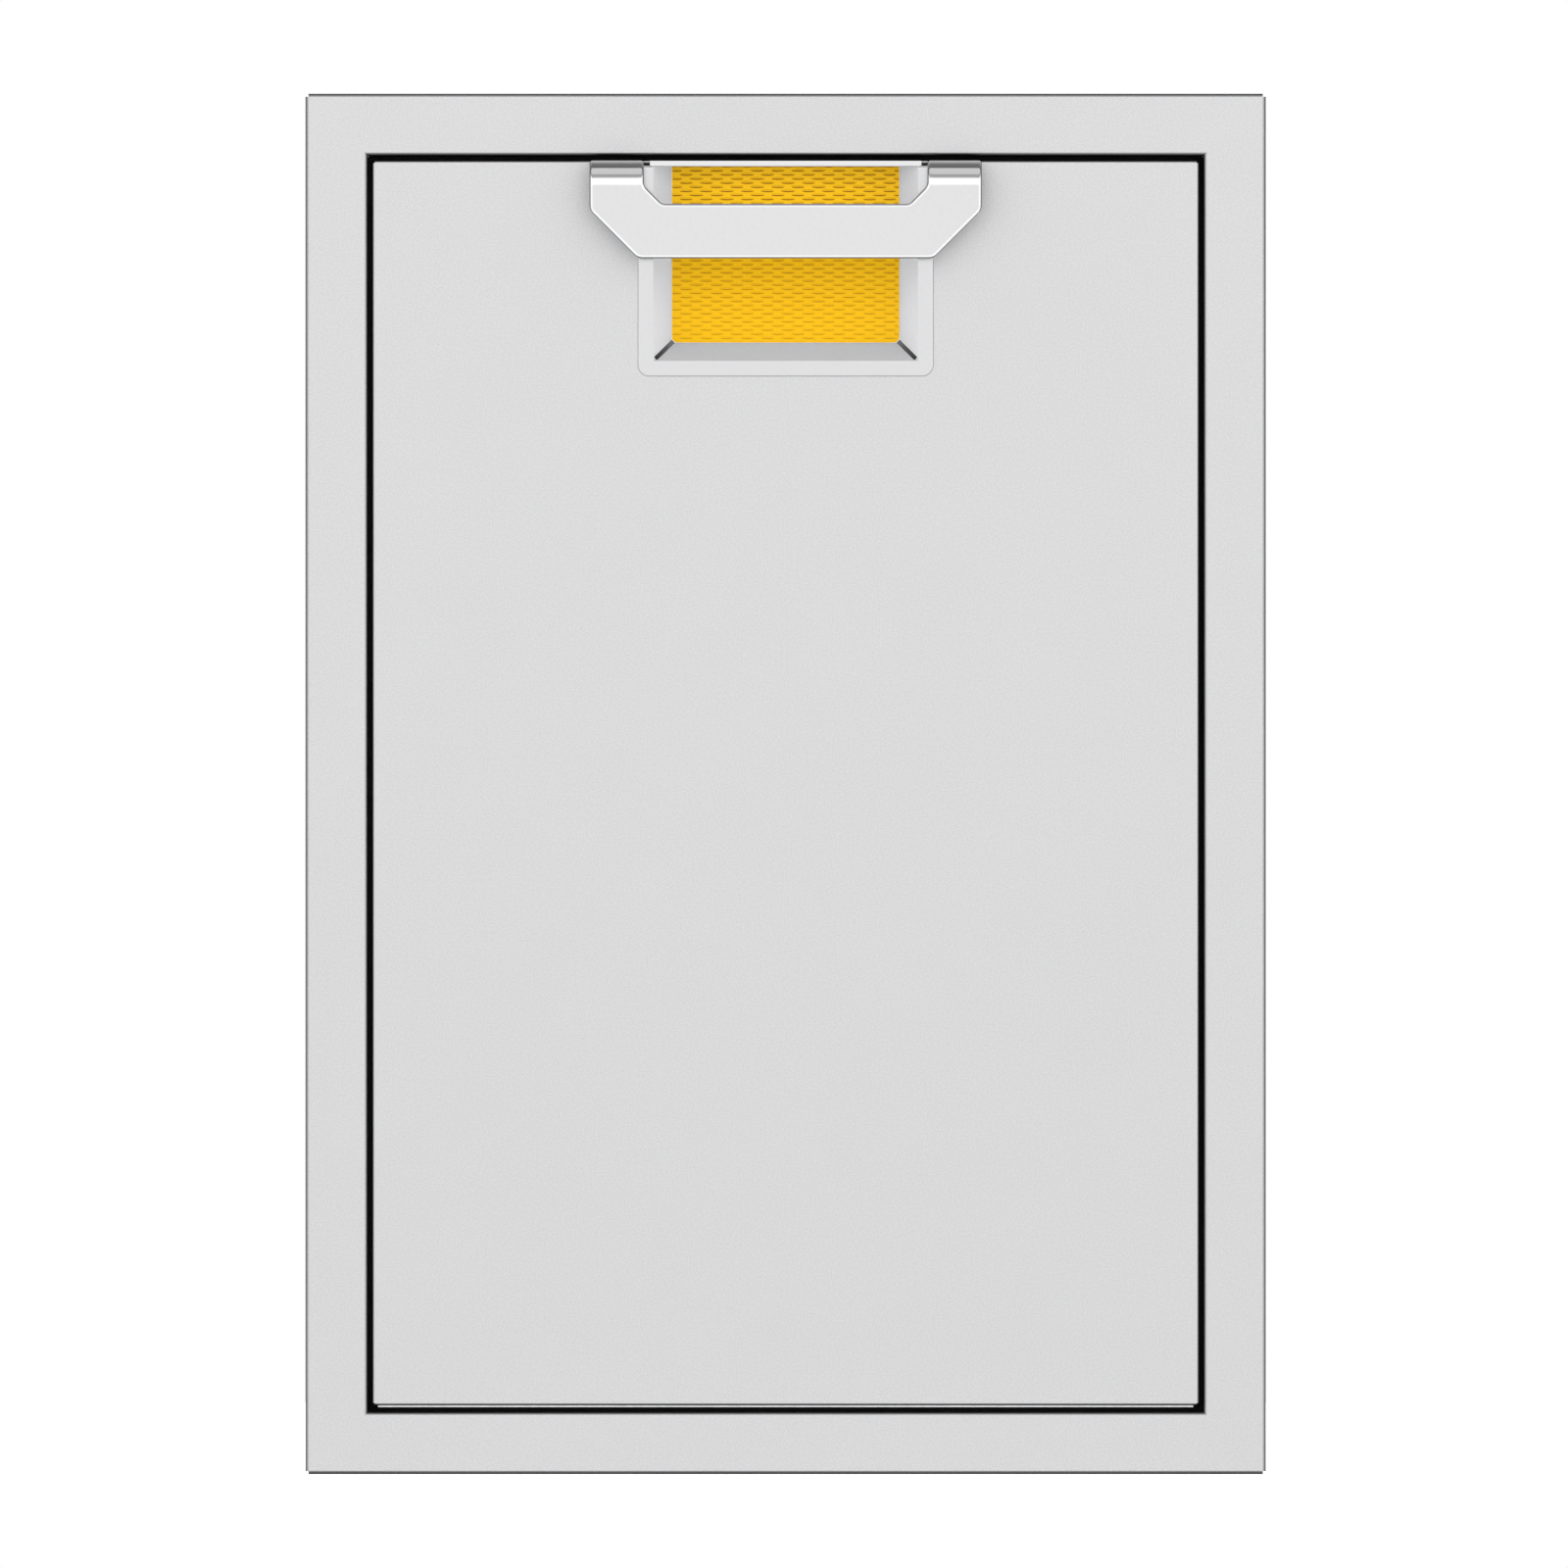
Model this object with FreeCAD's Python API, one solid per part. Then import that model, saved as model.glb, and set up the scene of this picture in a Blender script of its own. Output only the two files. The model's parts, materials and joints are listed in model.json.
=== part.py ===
"""Roll-out trash drawer for an outdoor kitchen island, in millimetres.

A folded steel face frame lies against the island. Behind it, two side panels, a floor pan and a rear wall carry
telescopic ball-bearing slides. The drawer is an inset double-walled door with a recessed pull, bolted to a tray that
holds two lift-out bins.

Origin: middle of the face frame's bottom edge, on the plane of the island's face.
+X is right when facing the door, +Y goes back into the island and +Z is up.
"""

import FreeCAD
import Part
import math
import os
from FreeCAD import Vector

# Face frame: one sheet, folded back at its outer edges and round the opening
frame_width = 508.0
frame_height = 730.25
frame_face = 32.9
frame_return = 12.7
frame_lip = 26.0
frame_steel = 1.5
frame_bend = 0.6
frame_corner_notch = 1.6

# Door: outer skin and inner liner
door_gap = 2.6
door_depth = 22.0
skin_steel = 0.9
skin_bend = 0.3
liner_steel = 1.0
liner_flange = 12.0
drip_setback = 2.6
sheet_bend = 1.0

# Handle recess: a folded pan set into the top of the door
recess_width = 140.0
recess_height = 103.2
recess_depth = 18.0
recess_draft = 9.6
recess_flange = 8.3
recess_corner = 6.2
recess_strip = 2.6
recess_strip_width = 143.6
recess_strip_gap = 0.3
recess_ear = 3.6
recess_ear_depth = 8.0
recess_edge = 0.6
recess_steel = 1.0
recess_clearance = 0.3
mitre_slot = 2.3
mitre_start = 1.6
accent_steel = 0.8
accent_clearance = 0.2
accent_corner = 3.0

# Pull handle: one flat plate, bent back at the top of both arms
handle_width = 207.4
handle_band = 28.8
handle_arm = 28.7
handle_drop = 51.8
handle_standoff = 30.0
handle_plate = 3.0
handle_bend = 10.2
handle_bevel = 25.7
handle_inner_bevel = 9.6
handle_corner = 4.0
handle_edge = 0.9
handle_tab = 21.0
handle_tab_bend = 1.5
handle_tab_inner = 4.4
handle_tab_outer = 2.2
handle_screw_spacing = 11.0
handle_screw_drop = 13.0

# Cabinet shell
side_steel = 1.2
side_top_flange = 14.0
side_rear_flange = 24.0
shell_front = 1.0
floor_flange = 18.0
back_height = 300.0
tie_height = 60.0
stiffening_flange = 15.0
rear_space = 14.0
rear_screw_margin = 50.0
island_hole_diameter = 5.5
island_hole_rise = 160.0
island_hole_drop = 62.0
island_hole_front = 45.0
island_hole_back = 62.0
vent_length = 60.0
vent_width = 8.0
vent_pitch = 24.0
vent_count = 4
vent_drop = 60.0

# Rubber seal on the back of the door
seal_lap = 7.0
seal_depth = 3.0
seal_clearance = 0.4

# Telescopic slides
slide_length = 500.0
slide_width = 12.7
slide_height = 45.0
slide_steel = 1.2
slide_setback = 1.7
slide_rise = 55.0
slide_fastener_margin = 50.0
slide_fastener_count = 3
slide_web_gap = 0.9
slide_lip_gap = 0.3
slide_fold = 0.8
outer_ball = 4.8
inner_ball = 3.8
ball_play = 0.1
balls_per_row = 4
cage_steel = 0.7
cage_end_margin = 6.0
cage_lift = 0.5
cage_pocket_play = 0.15

# Drawer tray and door brackets
tray_lift = 10.0
tray_overhang = 8.0
tray_wall = 110.0
tray_steel = 1.2
rail_width = 30.0
rail_height = 40.0
bracket_steel = 2.0
bracket_height = 390.0
bracket_reach = 130.0
bracket_tip = 30.0
bracket_foot = 34.0
bracket_flange = 26.0
bracket_clearance = 0.5
bracket_rivet_margin = 30.0
bracket_rivet_count = 3
bracket_screw_margin = 45.0
bracket_screw_count = 3
tray_screw_spread = 220.0

# Bins
bin_height = 540.0
bin_side_gap = 10.0
bin_depth = 222.0
bin_end_gap = 6.0
bin_taper = 17.0
bin_wall = 2.6
bin_base = 3.0
bin_foot = 4.0
bin_foot_width = 9.0
bin_corner = 38.0
bin_rim = 8.0
bin_rim_skirt = 14.0

# Fasteners and bumpers
screw_diameter = 4.8
screw_head = 9.4
screw_head_height = 2.6
screw_length = 9.0
screw_play = 0.1
screw_head_chamfer = 1.4
drill_reach = 6.0
rivet_diameter = 4.0
rivet_head = 8.0
rivet_head_height = 1.3
rivet_flat = 0.5
bumper_diameter = 16.0
bumper_tip_diameter = 11.0
bumper_button = 3.4
bumper_gap = 0.3
bumper_spread = 280.0

# Places that follow from the sizes above
opening_x = frame_width / 2 - frame_face
opening_bottom = frame_face
opening_top = frame_height - frame_face
face_y = -frame_return
lip_back_y = face_y + frame_lip
door_x = opening_x - door_gap
door_bottom = opening_bottom + door_gap
door_top = opening_top - door_gap
door_back_y = face_y + door_depth
skin_bottom = door_bottom + liner_steel
recess_top = door_top - recess_strip
recess_bottom = recess_top - recess_height
recess_margin = recess_steel + recess_clearance
side_inner_x = opening_x + frame_steel
side_outer_x = side_inner_x + side_steel
floor_top = opening_bottom - frame_steel
shell_bottom = floor_top + sheet_bend
shell_top = opening_top + frame_steel + sheet_bend + side_steel
tray_x = side_inner_x - slide_width
tray_bottom = opening_bottom + tray_lift
tray_floor = tray_bottom + tray_steel
tray_back_y = door_back_y + slide_length + tray_overhang
shell_back_y = tray_back_y + rear_space + side_steel
slide_front_y = lip_back_y + slide_setback
slide_back_y = slide_front_y + slide_length
slide_z = tray_bottom + slide_rise
screw_radius = screw_diameter / 2
rivet_radius = rivet_diameter / 2
screw_hole = screw_radius + screw_play
rivet_hole = rivet_radius + screw_play
tab_inner_x = handle_width / 2 - handle_arm + handle_tab_inner
tab_outer_x = handle_width / 2 - handle_tab_outer
wall_top = tray_bottom + tray_wall
bin_bay = bin_depth + 2 * bin_end_gap
first_bay_y = door_back_y + tray_steel
bin_half_width = tray_x - tray_steel - bin_side_gap
bin_half_depth = bin_depth / 2

X = Vector(1, 0, 0)
Y = Vector(0, 1, 0)
Z = Vector(0, 0, 1)


def block(x, y, z):
    """A box between two corners: each argument is a (low, high) pair."""
    size = [high - low for low, high in (x, y, z)]
    return Part.makeBox(*size, Vector(x[0], y[0], z[0]))


def fused(pieces):
    """One solid from pieces that meet, with the seams between flush faces taken out."""
    return pieces[0].multiFuse(pieces[1:]).removeSplitter()


def mirrored(shape):
    """The same piece on the other side of the drawer."""
    return shape.mirror(Vector(), X)


def rounded_face(points, radii, place):
    """A flat face inside a closed outline whose corners have the radii given, 0 for a sharp one.

    The points are pairs (a, b), and place turns such a pair into a point in space.
    """
    starts, ends, arcs = [], [], []
    for index, radius in enumerate(radii):
        before, corner, after = (place(*points[(index + step) % len(points)]) for step in (-1, 0, 1))
        back = (before - corner).normalize()
        ahead = (after - corner).normalize()
        if radius == 0:
            starts.append(corner)
            ends.append(corner)
            continue
        half_angle = back.getAngle(ahead) / 2
        tangent = radius / math.tan(half_angle)
        middle = (back + ahead).normalize() * (radius / math.sin(half_angle) - radius)
        starts.append(corner + back * tangent)
        ends.append(corner + ahead * tangent)
        arcs.append(Part.Arc(starts[-1], corner + middle, ends[-1]).toShape())
    edges = list(arcs)
    for index, start in enumerate(starts):
        if (start - ends[index - 1]).Length > 1e-6:
            edges.append(Part.makeLine(ends[index - 1], start))
    return Part.Face(Part.Wire(Part.__sortEdges__(edges)))


def folded_face(path, steel, bends, place):
    """The cross-section of a folded sheet: steel thick on the left of the path, with an inside radius for each fold."""
    steps = [(b[0] - a[0], b[1] - a[1]) for a, b in zip(path, path[1:])]
    lefts = [(-dy / math.hypot(dx, dy), dx / math.hypot(dx, dy)) for dx, dy in steps]
    offset = []
    outer_radii, inner_radii = [0], [0]
    for index, (a, b) in enumerate(path):
        before = lefts[max(index - 1, 0)]
        after = lefts[min(index, len(lefts) - 1)]
        share = steel / (1 + before[0] * after[0] + before[1] * after[1])
        offset.append((a + share * (before[0] + after[0]), b + share * (before[1] + after[1])))
        if 0 < index < len(path) - 1:
            turns_left = before[0] * after[1] - before[1] * after[0] > 0
            bend = bends[index - 1]
            outer_radii.append(bend + steel if turns_left else bend)
            inner_radii.append(bend if turns_left else bend + steel)
    radii = outer_radii + [0, 0] + inner_radii[::-1]
    return rounded_face(path + offset[::-1], radii, place)


def spread(low, high, count):
    """Evenly spaced places from low to high, both included."""
    return [low + (high - low) * index / (count - 1) for index in range(count)]


def folded_pan(width, length, walls, steel, bend):
    """A sheet pan on z = 0, centred, with walls folded up and a square relief where two folds meet.

    walls gives the height of each wall by side: left, right, front and back.
    """
    fold = bend + steel
    half = {"left": width / 2, "right": width / 2, "front": length / 2, "back": length / 2}
    flat = {side: half[side] - (fold if side in walls else 0) for side in half}
    turns = {
        "left": (0, "front", "back"),
        "front": (90, "right", "left"),
        "right": (180, "back", "front"),
        "back": (270, "left", "right"),
    }
    pieces = [block((-flat["left"], flat["right"]), (-flat["front"], flat["back"]), (0, steel))]
    for side, height in walls.items():
        angle, start, end = turns[side]
        path = [(-half[side], height), (-half[side], 0), (-flat[side], 0)]
        section = folded_face(path, steel, [bend], lambda a, b: Vector(a, -flat[start], b))
        wall = section.extrude(Y * (flat[start] + flat[end]))
        pieces.append(wall.rotated(Vector(), Z, angle))
    return fused(pieces)


def facing_front(pan):
    """Turns a pan so that its base faces the front. Its front wall becomes the top one."""
    return pan.rotated(Vector(), X, -90)


def facing_back(pan):
    """Turns a pan so that its base faces the back. Its back wall becomes the top one."""
    return pan.rotated(Vector(), X, 90)


def facing_left(pan):
    """Turns a pan so that its base faces left. Its left wall becomes the top one."""
    return pan.rotated(Vector(), Y, 90)


def drilled(shape, centres, radius, direction):
    """The shape with a round hole at each centre, through the wall that lies there."""
    holes = [Part.makeCylinder(radius, 2 * drill_reach, c - direction * drill_reach, direction) for c in centres]
    return shape.cut(Part.makeCompound(holes))


def pan_screws(seats, direction, length):
    """Pan-head screws whose heads sit at the seats, with shanks that point along direction."""
    screws = []
    for seat in seats:
        shank = Part.makeCylinder(screw_radius, length, seat, direction)
        straight = screw_head_height - screw_head_chamfer
        head = Part.makeCylinder(screw_head / 2, straight, seat, direction * -1)
        top = screw_head / 2 - screw_head_chamfer
        crown = Part.makeCone(screw_head / 2, top, screw_head_chamfer, seat - direction * straight, direction * -1)
        screws.append(fused([head, crown, shank]))
    return Part.makeCompound(screws)


def rivets(seats, direction, grip, flat_height):
    """Rivets with a domed head at each seat, a shank along direction and a flat tail beyond the grip."""
    dome_radius = (rivet_head ** 2 / 4 + rivet_head_height ** 2) / (2 * rivet_head_height)
    made = []
    for seat in seats:
        ball = Part.makeSphere(dome_radius, seat + direction * (dome_radius - rivet_head_height))
        slab = Part.makeCylinder(rivet_head, rivet_head_height, seat, direction * -1)
        shank = Part.makeCylinder(rivet_radius, grip, seat, direction)
        tail = Part.makeCylinder(rivet_head / 2, flat_height, seat + direction * grip, direction)
        made.append(fused([ball.common(slab), shank, tail]))
    return Part.makeCompound(made)


def face_frame():
    """Four mitred lengths of one folded section, joined into a frame with a small notch at each outer corner."""
    path = [(0, 0), (0, face_y), (frame_face, face_y), (frame_face, lip_back_y)]

    def member(length):
        section = folded_face(path, frame_steel, [frame_bend] * 2, lambda a, b: Vector(-length / 2, b, a))
        mitre = [
            Vector(-length / 2, face_y, 0),
            Vector(length / 2, face_y, 0),
            Vector(length / 2 - frame_face, face_y, frame_face),
            Vector(frame_face - length / 2, face_y, frame_face),
        ]
        wedge = Part.Face(Part.makePolygon(mitre + mitre[:1])).extrude(Y * frame_lip)
        return section.extrude(X * length).common(wedge)

    middle = Vector(0, 0, frame_height / 2)
    sides = [
        member(frame_width),
        member(frame_width).rotated(middle, Y, 180),
        member(frame_height).rotated(Vector(), Y, 90).translated(middle - X * frame_width / 2),
        member(frame_height).rotated(Vector(), Y, -90).translated(middle + X * frame_width / 2),
    ]
    notch = frame_corner_notch
    across = (-frame_width / 2, frame_width / 2 - notch)
    along = (0, frame_height - notch)
    notches = [block((x, x + notch), (face_y, 0), (z, z + notch)) for x in across for z in along]
    return fused(sides).cut(Part.makeCompound(notches))


def door_seal():
    """A rubber strip round the back of the door, which reaches across the gap to the frame's lip."""
    along = (door_back_y, door_back_y + seal_depth)
    outer_x = opening_x - seal_clearance
    ring = block((-outer_x, outer_x), along, (opening_bottom + seal_clearance, opening_top - seal_clearance))
    inner_x = tray_x + seal_clearance
    inside = block((-inner_x, inner_x), along, (tray_bottom - seal_clearance, door_top - seal_lap))
    return ring.cut(inside)


def handle_screw_seats():
    """Where the handle's screws go through the door skin, on its inside."""
    tab_middle = (tab_inner_x + tab_outer_x) / 2
    places = [tab_middle - handle_screw_spacing / 2, tab_middle + handle_screw_spacing / 2]
    height = door_top - handle_screw_drop
    return [Vector(side * x, face_y + skin_steel, height) for side in (-1, 1) for x in places]


def door_skin():
    """The outer sheet of the door, folded back all round, with a window and corner reliefs for the recess."""
    walls = {
        "left": door_depth,
        "right": door_depth,
        "front": door_depth,
        "back": door_depth - liner_steel - sheet_bend,
    }
    height = door_top - skin_bottom
    skin = facing_front(folded_pan(2 * door_x, height, walls, skin_steel, skin_bend))
    skin = skin.translated(Vector(0, face_y, (door_top + skin_bottom) / 2))
    window_x = recess_width / 2 + recess_margin
    window = block(
        (-window_x, window_x),
        (face_y, face_y + skin_steel),
        (recess_bottom - recess_margin, recess_top + recess_margin),
    )
    ear_x = recess_strip_width / 2
    ear = block((ear_x, ear_x + recess_ear), (face_y, face_y + recess_ear_depth), (recess_top, door_top))
    skin = skin.cut(Part.makeCompound([window, ear, mirrored(ear)]))
    return drilled(skin, handle_screw_seats(), screw_hole, Y)


def door_liner():
    """The inner sheet of the door, nested in the skin, with a drip lip that wraps under the skin's lower edge."""
    walls = {
        "left": liner_flange,
        "right": liner_flange,
        "back": liner_flange,
        "front": door_depth - drip_setback,
    }
    top = door_top - skin_steel
    liner = facing_back(folded_pan(2 * (door_x - skin_steel), top - door_bottom, walls, liner_steel, sheet_bend))
    liner = liner.translated(Vector(0, door_back_y, (top + door_bottom) / 2))
    bay_x = recess_strip_width / 2 + recess_ear
    inside = (face_y, door_back_y - liner_steel - sheet_bend)
    bay = block((-bay_x, bay_x), inside, (recess_bottom, top))
    ledge = block((-door_x, door_x), inside, (skin_bottom, skin_bottom + skin_steel + recess_clearance))
    return drilled(liner.cut(bay).cut(ledge), door_screw_seats(), screw_hole, Y)


def recess_block(grow, front_y, back_y):
    """A block with the recess's leaning sides and straight top, grown outwards by a wall, from front to back."""
    top = recess_top + grow

    def outline(lean, y):
        half = recess_width / 2 - lean + grow
        bottom = recess_bottom + lean - grow
        corners = [(-half, bottom), (half, bottom), (half, top), (-half, top), (-half, bottom)]
        return Part.makePolygon([Vector(x, y, z) for x, z in corners])

    return Part.makeLoft([outline(0, front_y), outline(recess_draft, back_y)], True, True)


def handle_recess():
    """A pan with leaning walls, a flange on the door, open mitres that end in corner reliefs, and a top strip."""
    floor_y = face_y + recess_depth
    cavity = recess_block(0, face_y, floor_y)
    pan = recess_block(recess_steel, face_y, floor_y + recess_steel).cut(cavity)
    half = recess_width / 2
    flange_x = half + recess_flange
    flange_bottom = recess_bottom - recess_flange
    flange_top = recess_top - recess_strip_gap
    outline = [
        (-flange_x, flange_bottom),
        (flange_x, flange_bottom),
        (flange_x, flange_top),
        (half, flange_top),
        (half, recess_bottom),
        (-half, recess_bottom),
        (-half, flange_top),
        (-flange_x, flange_top),
    ]
    radii = [recess_corner, recess_corner] + [0] * (len(outline) - 2)
    front_y = face_y - recess_steel
    flange = rounded_face(outline, radii, lambda a, b: Vector(a, front_y, b)).extrude(Y * recess_steel)
    flange = flange.makeFillet(recess_edge, outer_flange_edges(flange, front_y))
    strip_x = recess_strip_width / 2
    strip = block((-strip_x, strip_x), (front_y, face_y), (recess_top, door_top))
    pan = fused([pan, flange, strip])
    relief = accent_corner * (math.sqrt(2) - 1)
    run = recess_draft * math.sqrt(2) + relief
    back_y = floor_y + recess_steel
    slot = block((mitre_start, run), (face_y + recess_steel, back_y), (-mitre_slot / 2, mitre_slot / 2))
    slot = slot.rotated(Vector(), Y, -45).translated(Vector(-half, 0, recess_bottom))
    return pan.cut(slot).cut(mirrored(slot))


def outer_flange_edges(flange, front_y):
    """Edges of the flange's front that face the door, and not the pan's opening."""
    edges = []
    for edge in flange.Edges:
        centre = edge.CenterOfMass
        outside = abs(centre.x) > recess_width / 2 + recess_edge or centre.z < recess_bottom - recess_edge
        if outside and edge.BoundBox.YMax < front_y + recess_edge:
            edges.append(edge)
    return edges


def accent_panel():
    """The coloured plate on the floor of the recess."""
    half = recess_width / 2 - recess_draft - accent_clearance
    bottom = recess_bottom + recess_draft + accent_clearance
    top = recess_top - accent_clearance
    y = face_y + recess_depth - accent_steel
    outline = [(-half, bottom), (half, bottom), (half, top), (-half, top)]
    face = rounded_face(outline, [accent_corner] * 2 + [0] * 2, lambda a, b: Vector(a, y, b))
    return face.extrude(Y * accent_steel)


def pull_handle():
    """A plate cut to a broad U, with both arms bent back at the top and down again onto the door."""
    front_y = face_y - handle_standoff
    low = door_top - handle_drop
    half = handle_width / 2
    inner = half - handle_arm
    bar_top = low + handle_band
    path = [(face_y, door_top - handle_tab), (face_y, door_top), (front_y, door_top), (front_y, low)]
    bends = [handle_tab_bend, handle_bend]
    section = folded_face(path, handle_plate, bends, lambda a, b: Vector(-half, a, b))
    strip = section.extrude(X * handle_width)
    right_side = [
        (half - handle_bevel, low),
        (half, low + handle_bevel),
        (half, door_top),
        (inner, door_top),
        (inner, bar_top + handle_inner_bevel),
        (inner - handle_inner_bevel, bar_top),
    ]
    outline = right_side + [(-a, b) for a, b in reversed(right_side)]
    side_radii = [handle_corner, handle_corner, 0, 0, handle_corner, handle_corner]
    shape = rounded_face(outline, side_radii + side_radii[::-1], lambda a, b: Vector(a, front_y, b))
    bent_y = front_y + handle_bend + handle_plate
    front = strip.common(shape.extrude(Y * (bent_y - front_y)))
    front = front.makeFillet(handle_edge, outline_edges(front, front_y, bent_y))
    leg = block((tab_inner_x, tab_outer_x), (bent_y, face_y), (door_top - handle_tab, door_top))
    legs = [strip.common(leg), strip.common(mirrored(leg))]
    plate = fused([front] + legs)
    holes = [seat - Y * skin_steel for seat in handle_screw_seats()]
    return drilled(plate, holes, screw_hole, Y)


def outline_edges(plate, front_y, bent_y):
    """Edges round the show side of the handle: its flat front and the outside of its bends."""
    show = []
    for face in plate.Faces:
        flat = face.BoundBox.YMax < front_y + handle_edge
        bend = isinstance(face.Surface, Part.Cylinder) and face.Surface.Radius > handle_bend + handle_edge
        if flat or bend:
            show.append(face)
    edges = [edge for face in show for edge in face.Edges]
    single = [edge for edge in edges if sum(edge.isSame(other) for other in edges) == 1]
    return [edge for edge in single if edge.BoundBox.YMin < bent_y - handle_edge]


def handle_screws():
    """Screws from inside the door, through the skin into the handle's tabs."""
    return pan_screws(handle_screw_seats(), Y * -1, skin_steel + handle_plate)


def side_panel():
    """The left wall of the cabinet, folded in at its top and rear, with vents and holes for fixing to the island."""
    height = shell_top - shell_bottom
    depth = shell_back_y - shell_front
    walls = {"left": side_top_flange, "back": side_rear_flange}
    panel = facing_left(folded_pan(height, depth, walls, side_steel, sheet_bend))
    panel = panel.translated(Vector(-side_outer_x, shell_front + depth / 2, shell_bottom + height / 2))
    vents = []
    for index in range(vent_count):
        z = shell_top - vent_drop - index * vent_pitch
        middle = (shell_front + shell_back_y) / 2
        ends = [middle - vent_length / 2, middle + vent_length / 2]
        slot = [(ends[0], z), (ends[1], z), (ends[1], z + vent_width), (ends[0], z + vent_width)]
        radii = [vent_width / 2] * len(slot)
        face = rounded_face(slot, radii, lambda a, b: Vector(-side_outer_x, a, b))
        vents.append(face.extrude(X * side_steel))
    panel = panel.cut(Part.makeCompound(vents))
    panel = drilled(panel, island_hole_seats(), island_hole_diameter / 2, X)
    panel = drilled(panel, slide_rivet_seats(), rivet_hole, X)
    return drilled(panel, rear_screw_seats(), screw_hole, Y)


def island_hole_seats():
    """Where screws go through a side panel into the island's framing."""
    ys = (island_hole_front, shell_back_y - island_hole_back)
    zs = (floor_top + island_hole_rise, shell_top - island_hole_drop)
    return [Vector(-side_outer_x, y, z) for y in ys for z in zs]


def floor_pan():
    """The cabinet's floor, folded up outside the side panels and behind the back panel."""
    depth = shell_back_y + side_steel + side_steel - shell_front
    walls = {"left": floor_flange, "right": floor_flange, "back": floor_flange}
    pan = folded_pan(2 * (side_outer_x + side_steel), depth, walls, side_steel, sheet_bend)
    return pan.translated(Vector(0, shell_front + depth / 2, floor_top - side_steel))


def back_panel():
    """The lower rear wall, with a flange turned back along its top edge."""
    pan = facing_front(folded_pan(2 * side_outer_x, back_height, {"front": stiffening_flange}, side_steel, sheet_bend))
    pan = pan.translated(Vector(0, shell_back_y, shell_bottom + back_height / 2))
    pan = drilled(pan, rear_screw_seats(), screw_hole, Y)
    return drilled(pan, bumper_seats(), rivet_hole, Y)


def rear_tie():
    """A channel across the top of the rear, which holds the side panels apart."""
    walls = {"front": stiffening_flange, "back": stiffening_flange}
    tie = facing_front(folded_pan(2 * side_outer_x, tie_height, walls, side_steel, sheet_bend))
    tie = tie.translated(Vector(0, shell_back_y, shell_top - tie_height / 2))
    return drilled(tie, rear_screw_seats(), screw_hole, Y)


def rear_screw_seats():
    """Screws that hold the back panel and the rear tie to the side panels' rear flanges."""
    x = side_outer_x - side_rear_flange / 2
    low = [shell_bottom + rear_screw_margin, shell_bottom + back_height - rear_screw_margin]
    heights = low + [shell_top - tie_height / 2]
    return [Vector(side * x, shell_back_y + side_steel, z) for side in (-1, 1) for z in heights]


def bumper_seats():
    """Where the rubber closing bumpers are pushed into the back panel."""
    z = tray_bottom + tray_wall / 2
    return [Vector(side * bumper_spread / 2, shell_back_y, z) for side in (-1, 1)]


def closing_bumpers():
    """Rubber bumpers that meet the tray's rear wall when the drawer is shut."""
    length = shell_back_y - tray_back_y - bumper_gap
    bumpers = []
    for seat in bumper_seats():
        head = Part.makeCone(bumper_diameter / 2, bumper_tip_diameter / 2, length, seat, Y * -1)
        plug = Part.makeCylinder(rivet_radius, side_steel, seat, Y)
        button = Part.makeCone(bumper_button, rivet_radius, rivet_diameter, seat + Y * side_steel, Y)
        bumpers.append(fused([head, plug, button]))
    return Part.makeCompound(bumpers)


# Slide sections, as (distance from the side panel, height from the slide's middle)
outer_arch = outer_ball / 2 + ball_play
inner_arch = inner_ball / 2 + ball_play
outer_reach = 2 * (outer_arch + slide_steel + ball_play)
outer_ball_u = outer_reach / 2
outer_ball_v = slide_height / 2 - slide_steel - outer_arch
middle_half = outer_ball_v - outer_arch
middle_web = slide_steel + slide_web_gap
middle_reach = slide_width - slide_steel - slide_lip_gap
inner_ball_u = middle_reach - slide_steel - inner_arch
inner_ball_v = middle_half - slide_steel - inner_arch
inner_half = inner_ball_v - inner_arch
inner_tip = inner_ball_u - inner_arch


def slide_place(u, v):
    """A point of a left slide's section, at the slide's front end."""
    return Vector(-side_inner_x + u, slide_front_y, slide_z + v)


def channel(reach, half, web, lip, bends):
    """A slide member: a channel that opens away from the side panel, with lips that close round the balls."""
    path = [(reach, lip), (reach, half), (web, half), (web, -half), (reach, -half), (reach, -lip)]
    return folded_face(path, slide_steel, bends, slide_place).extrude(Y * slide_length)


def slide_outer():
    """The member riveted to the side panel, arched over the outer balls."""
    half = slide_height / 2
    member = channel(outer_reach, half, 0, outer_ball_v - ball_play, [outer_arch] * 4)
    return drilled(member, slide_rivet_seats(), rivet_hole, X)


def slide_middle():
    """The member between the two ball races."""
    bends = [inner_arch, slide_fold, slide_fold, inner_arch]
    return channel(middle_reach, middle_half, middle_web, inner_ball_v - ball_play, bends)


def slide_inner():
    """The member screwed to the tray, which opens towards the side panel."""
    path = [(inner_tip, -inner_half), (slide_width, -inner_half), (slide_width, inner_half), (inner_tip, inner_half)]
    member = folded_face(path, slide_steel, [slide_fold] * 2, slide_place).extrude(Y * slide_length)
    return drilled(member, slide_screw_seats(), screw_hole, X)


def ball_places(u, v):
    """Centres of the balls in a slide's upper and lower row, spread over the cage."""
    spacing = cage_length() / balls_per_row
    first = cage_front_y() + spacing / 2
    rows = [slide_place(u, sign * v) for sign in (1, -1)]
    return [Vector(row.x, first + index * spacing, row.z) for row in rows for index in range(balls_per_row)]


def cage_front_y():
    """The cage stays between both members over the whole travel, so it starts a quarter of the way back."""
    return slide_front_y + slide_length / 4 + cage_end_margin


def cage_length():
    return slide_length / 2 - 2 * cage_end_margin


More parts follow.
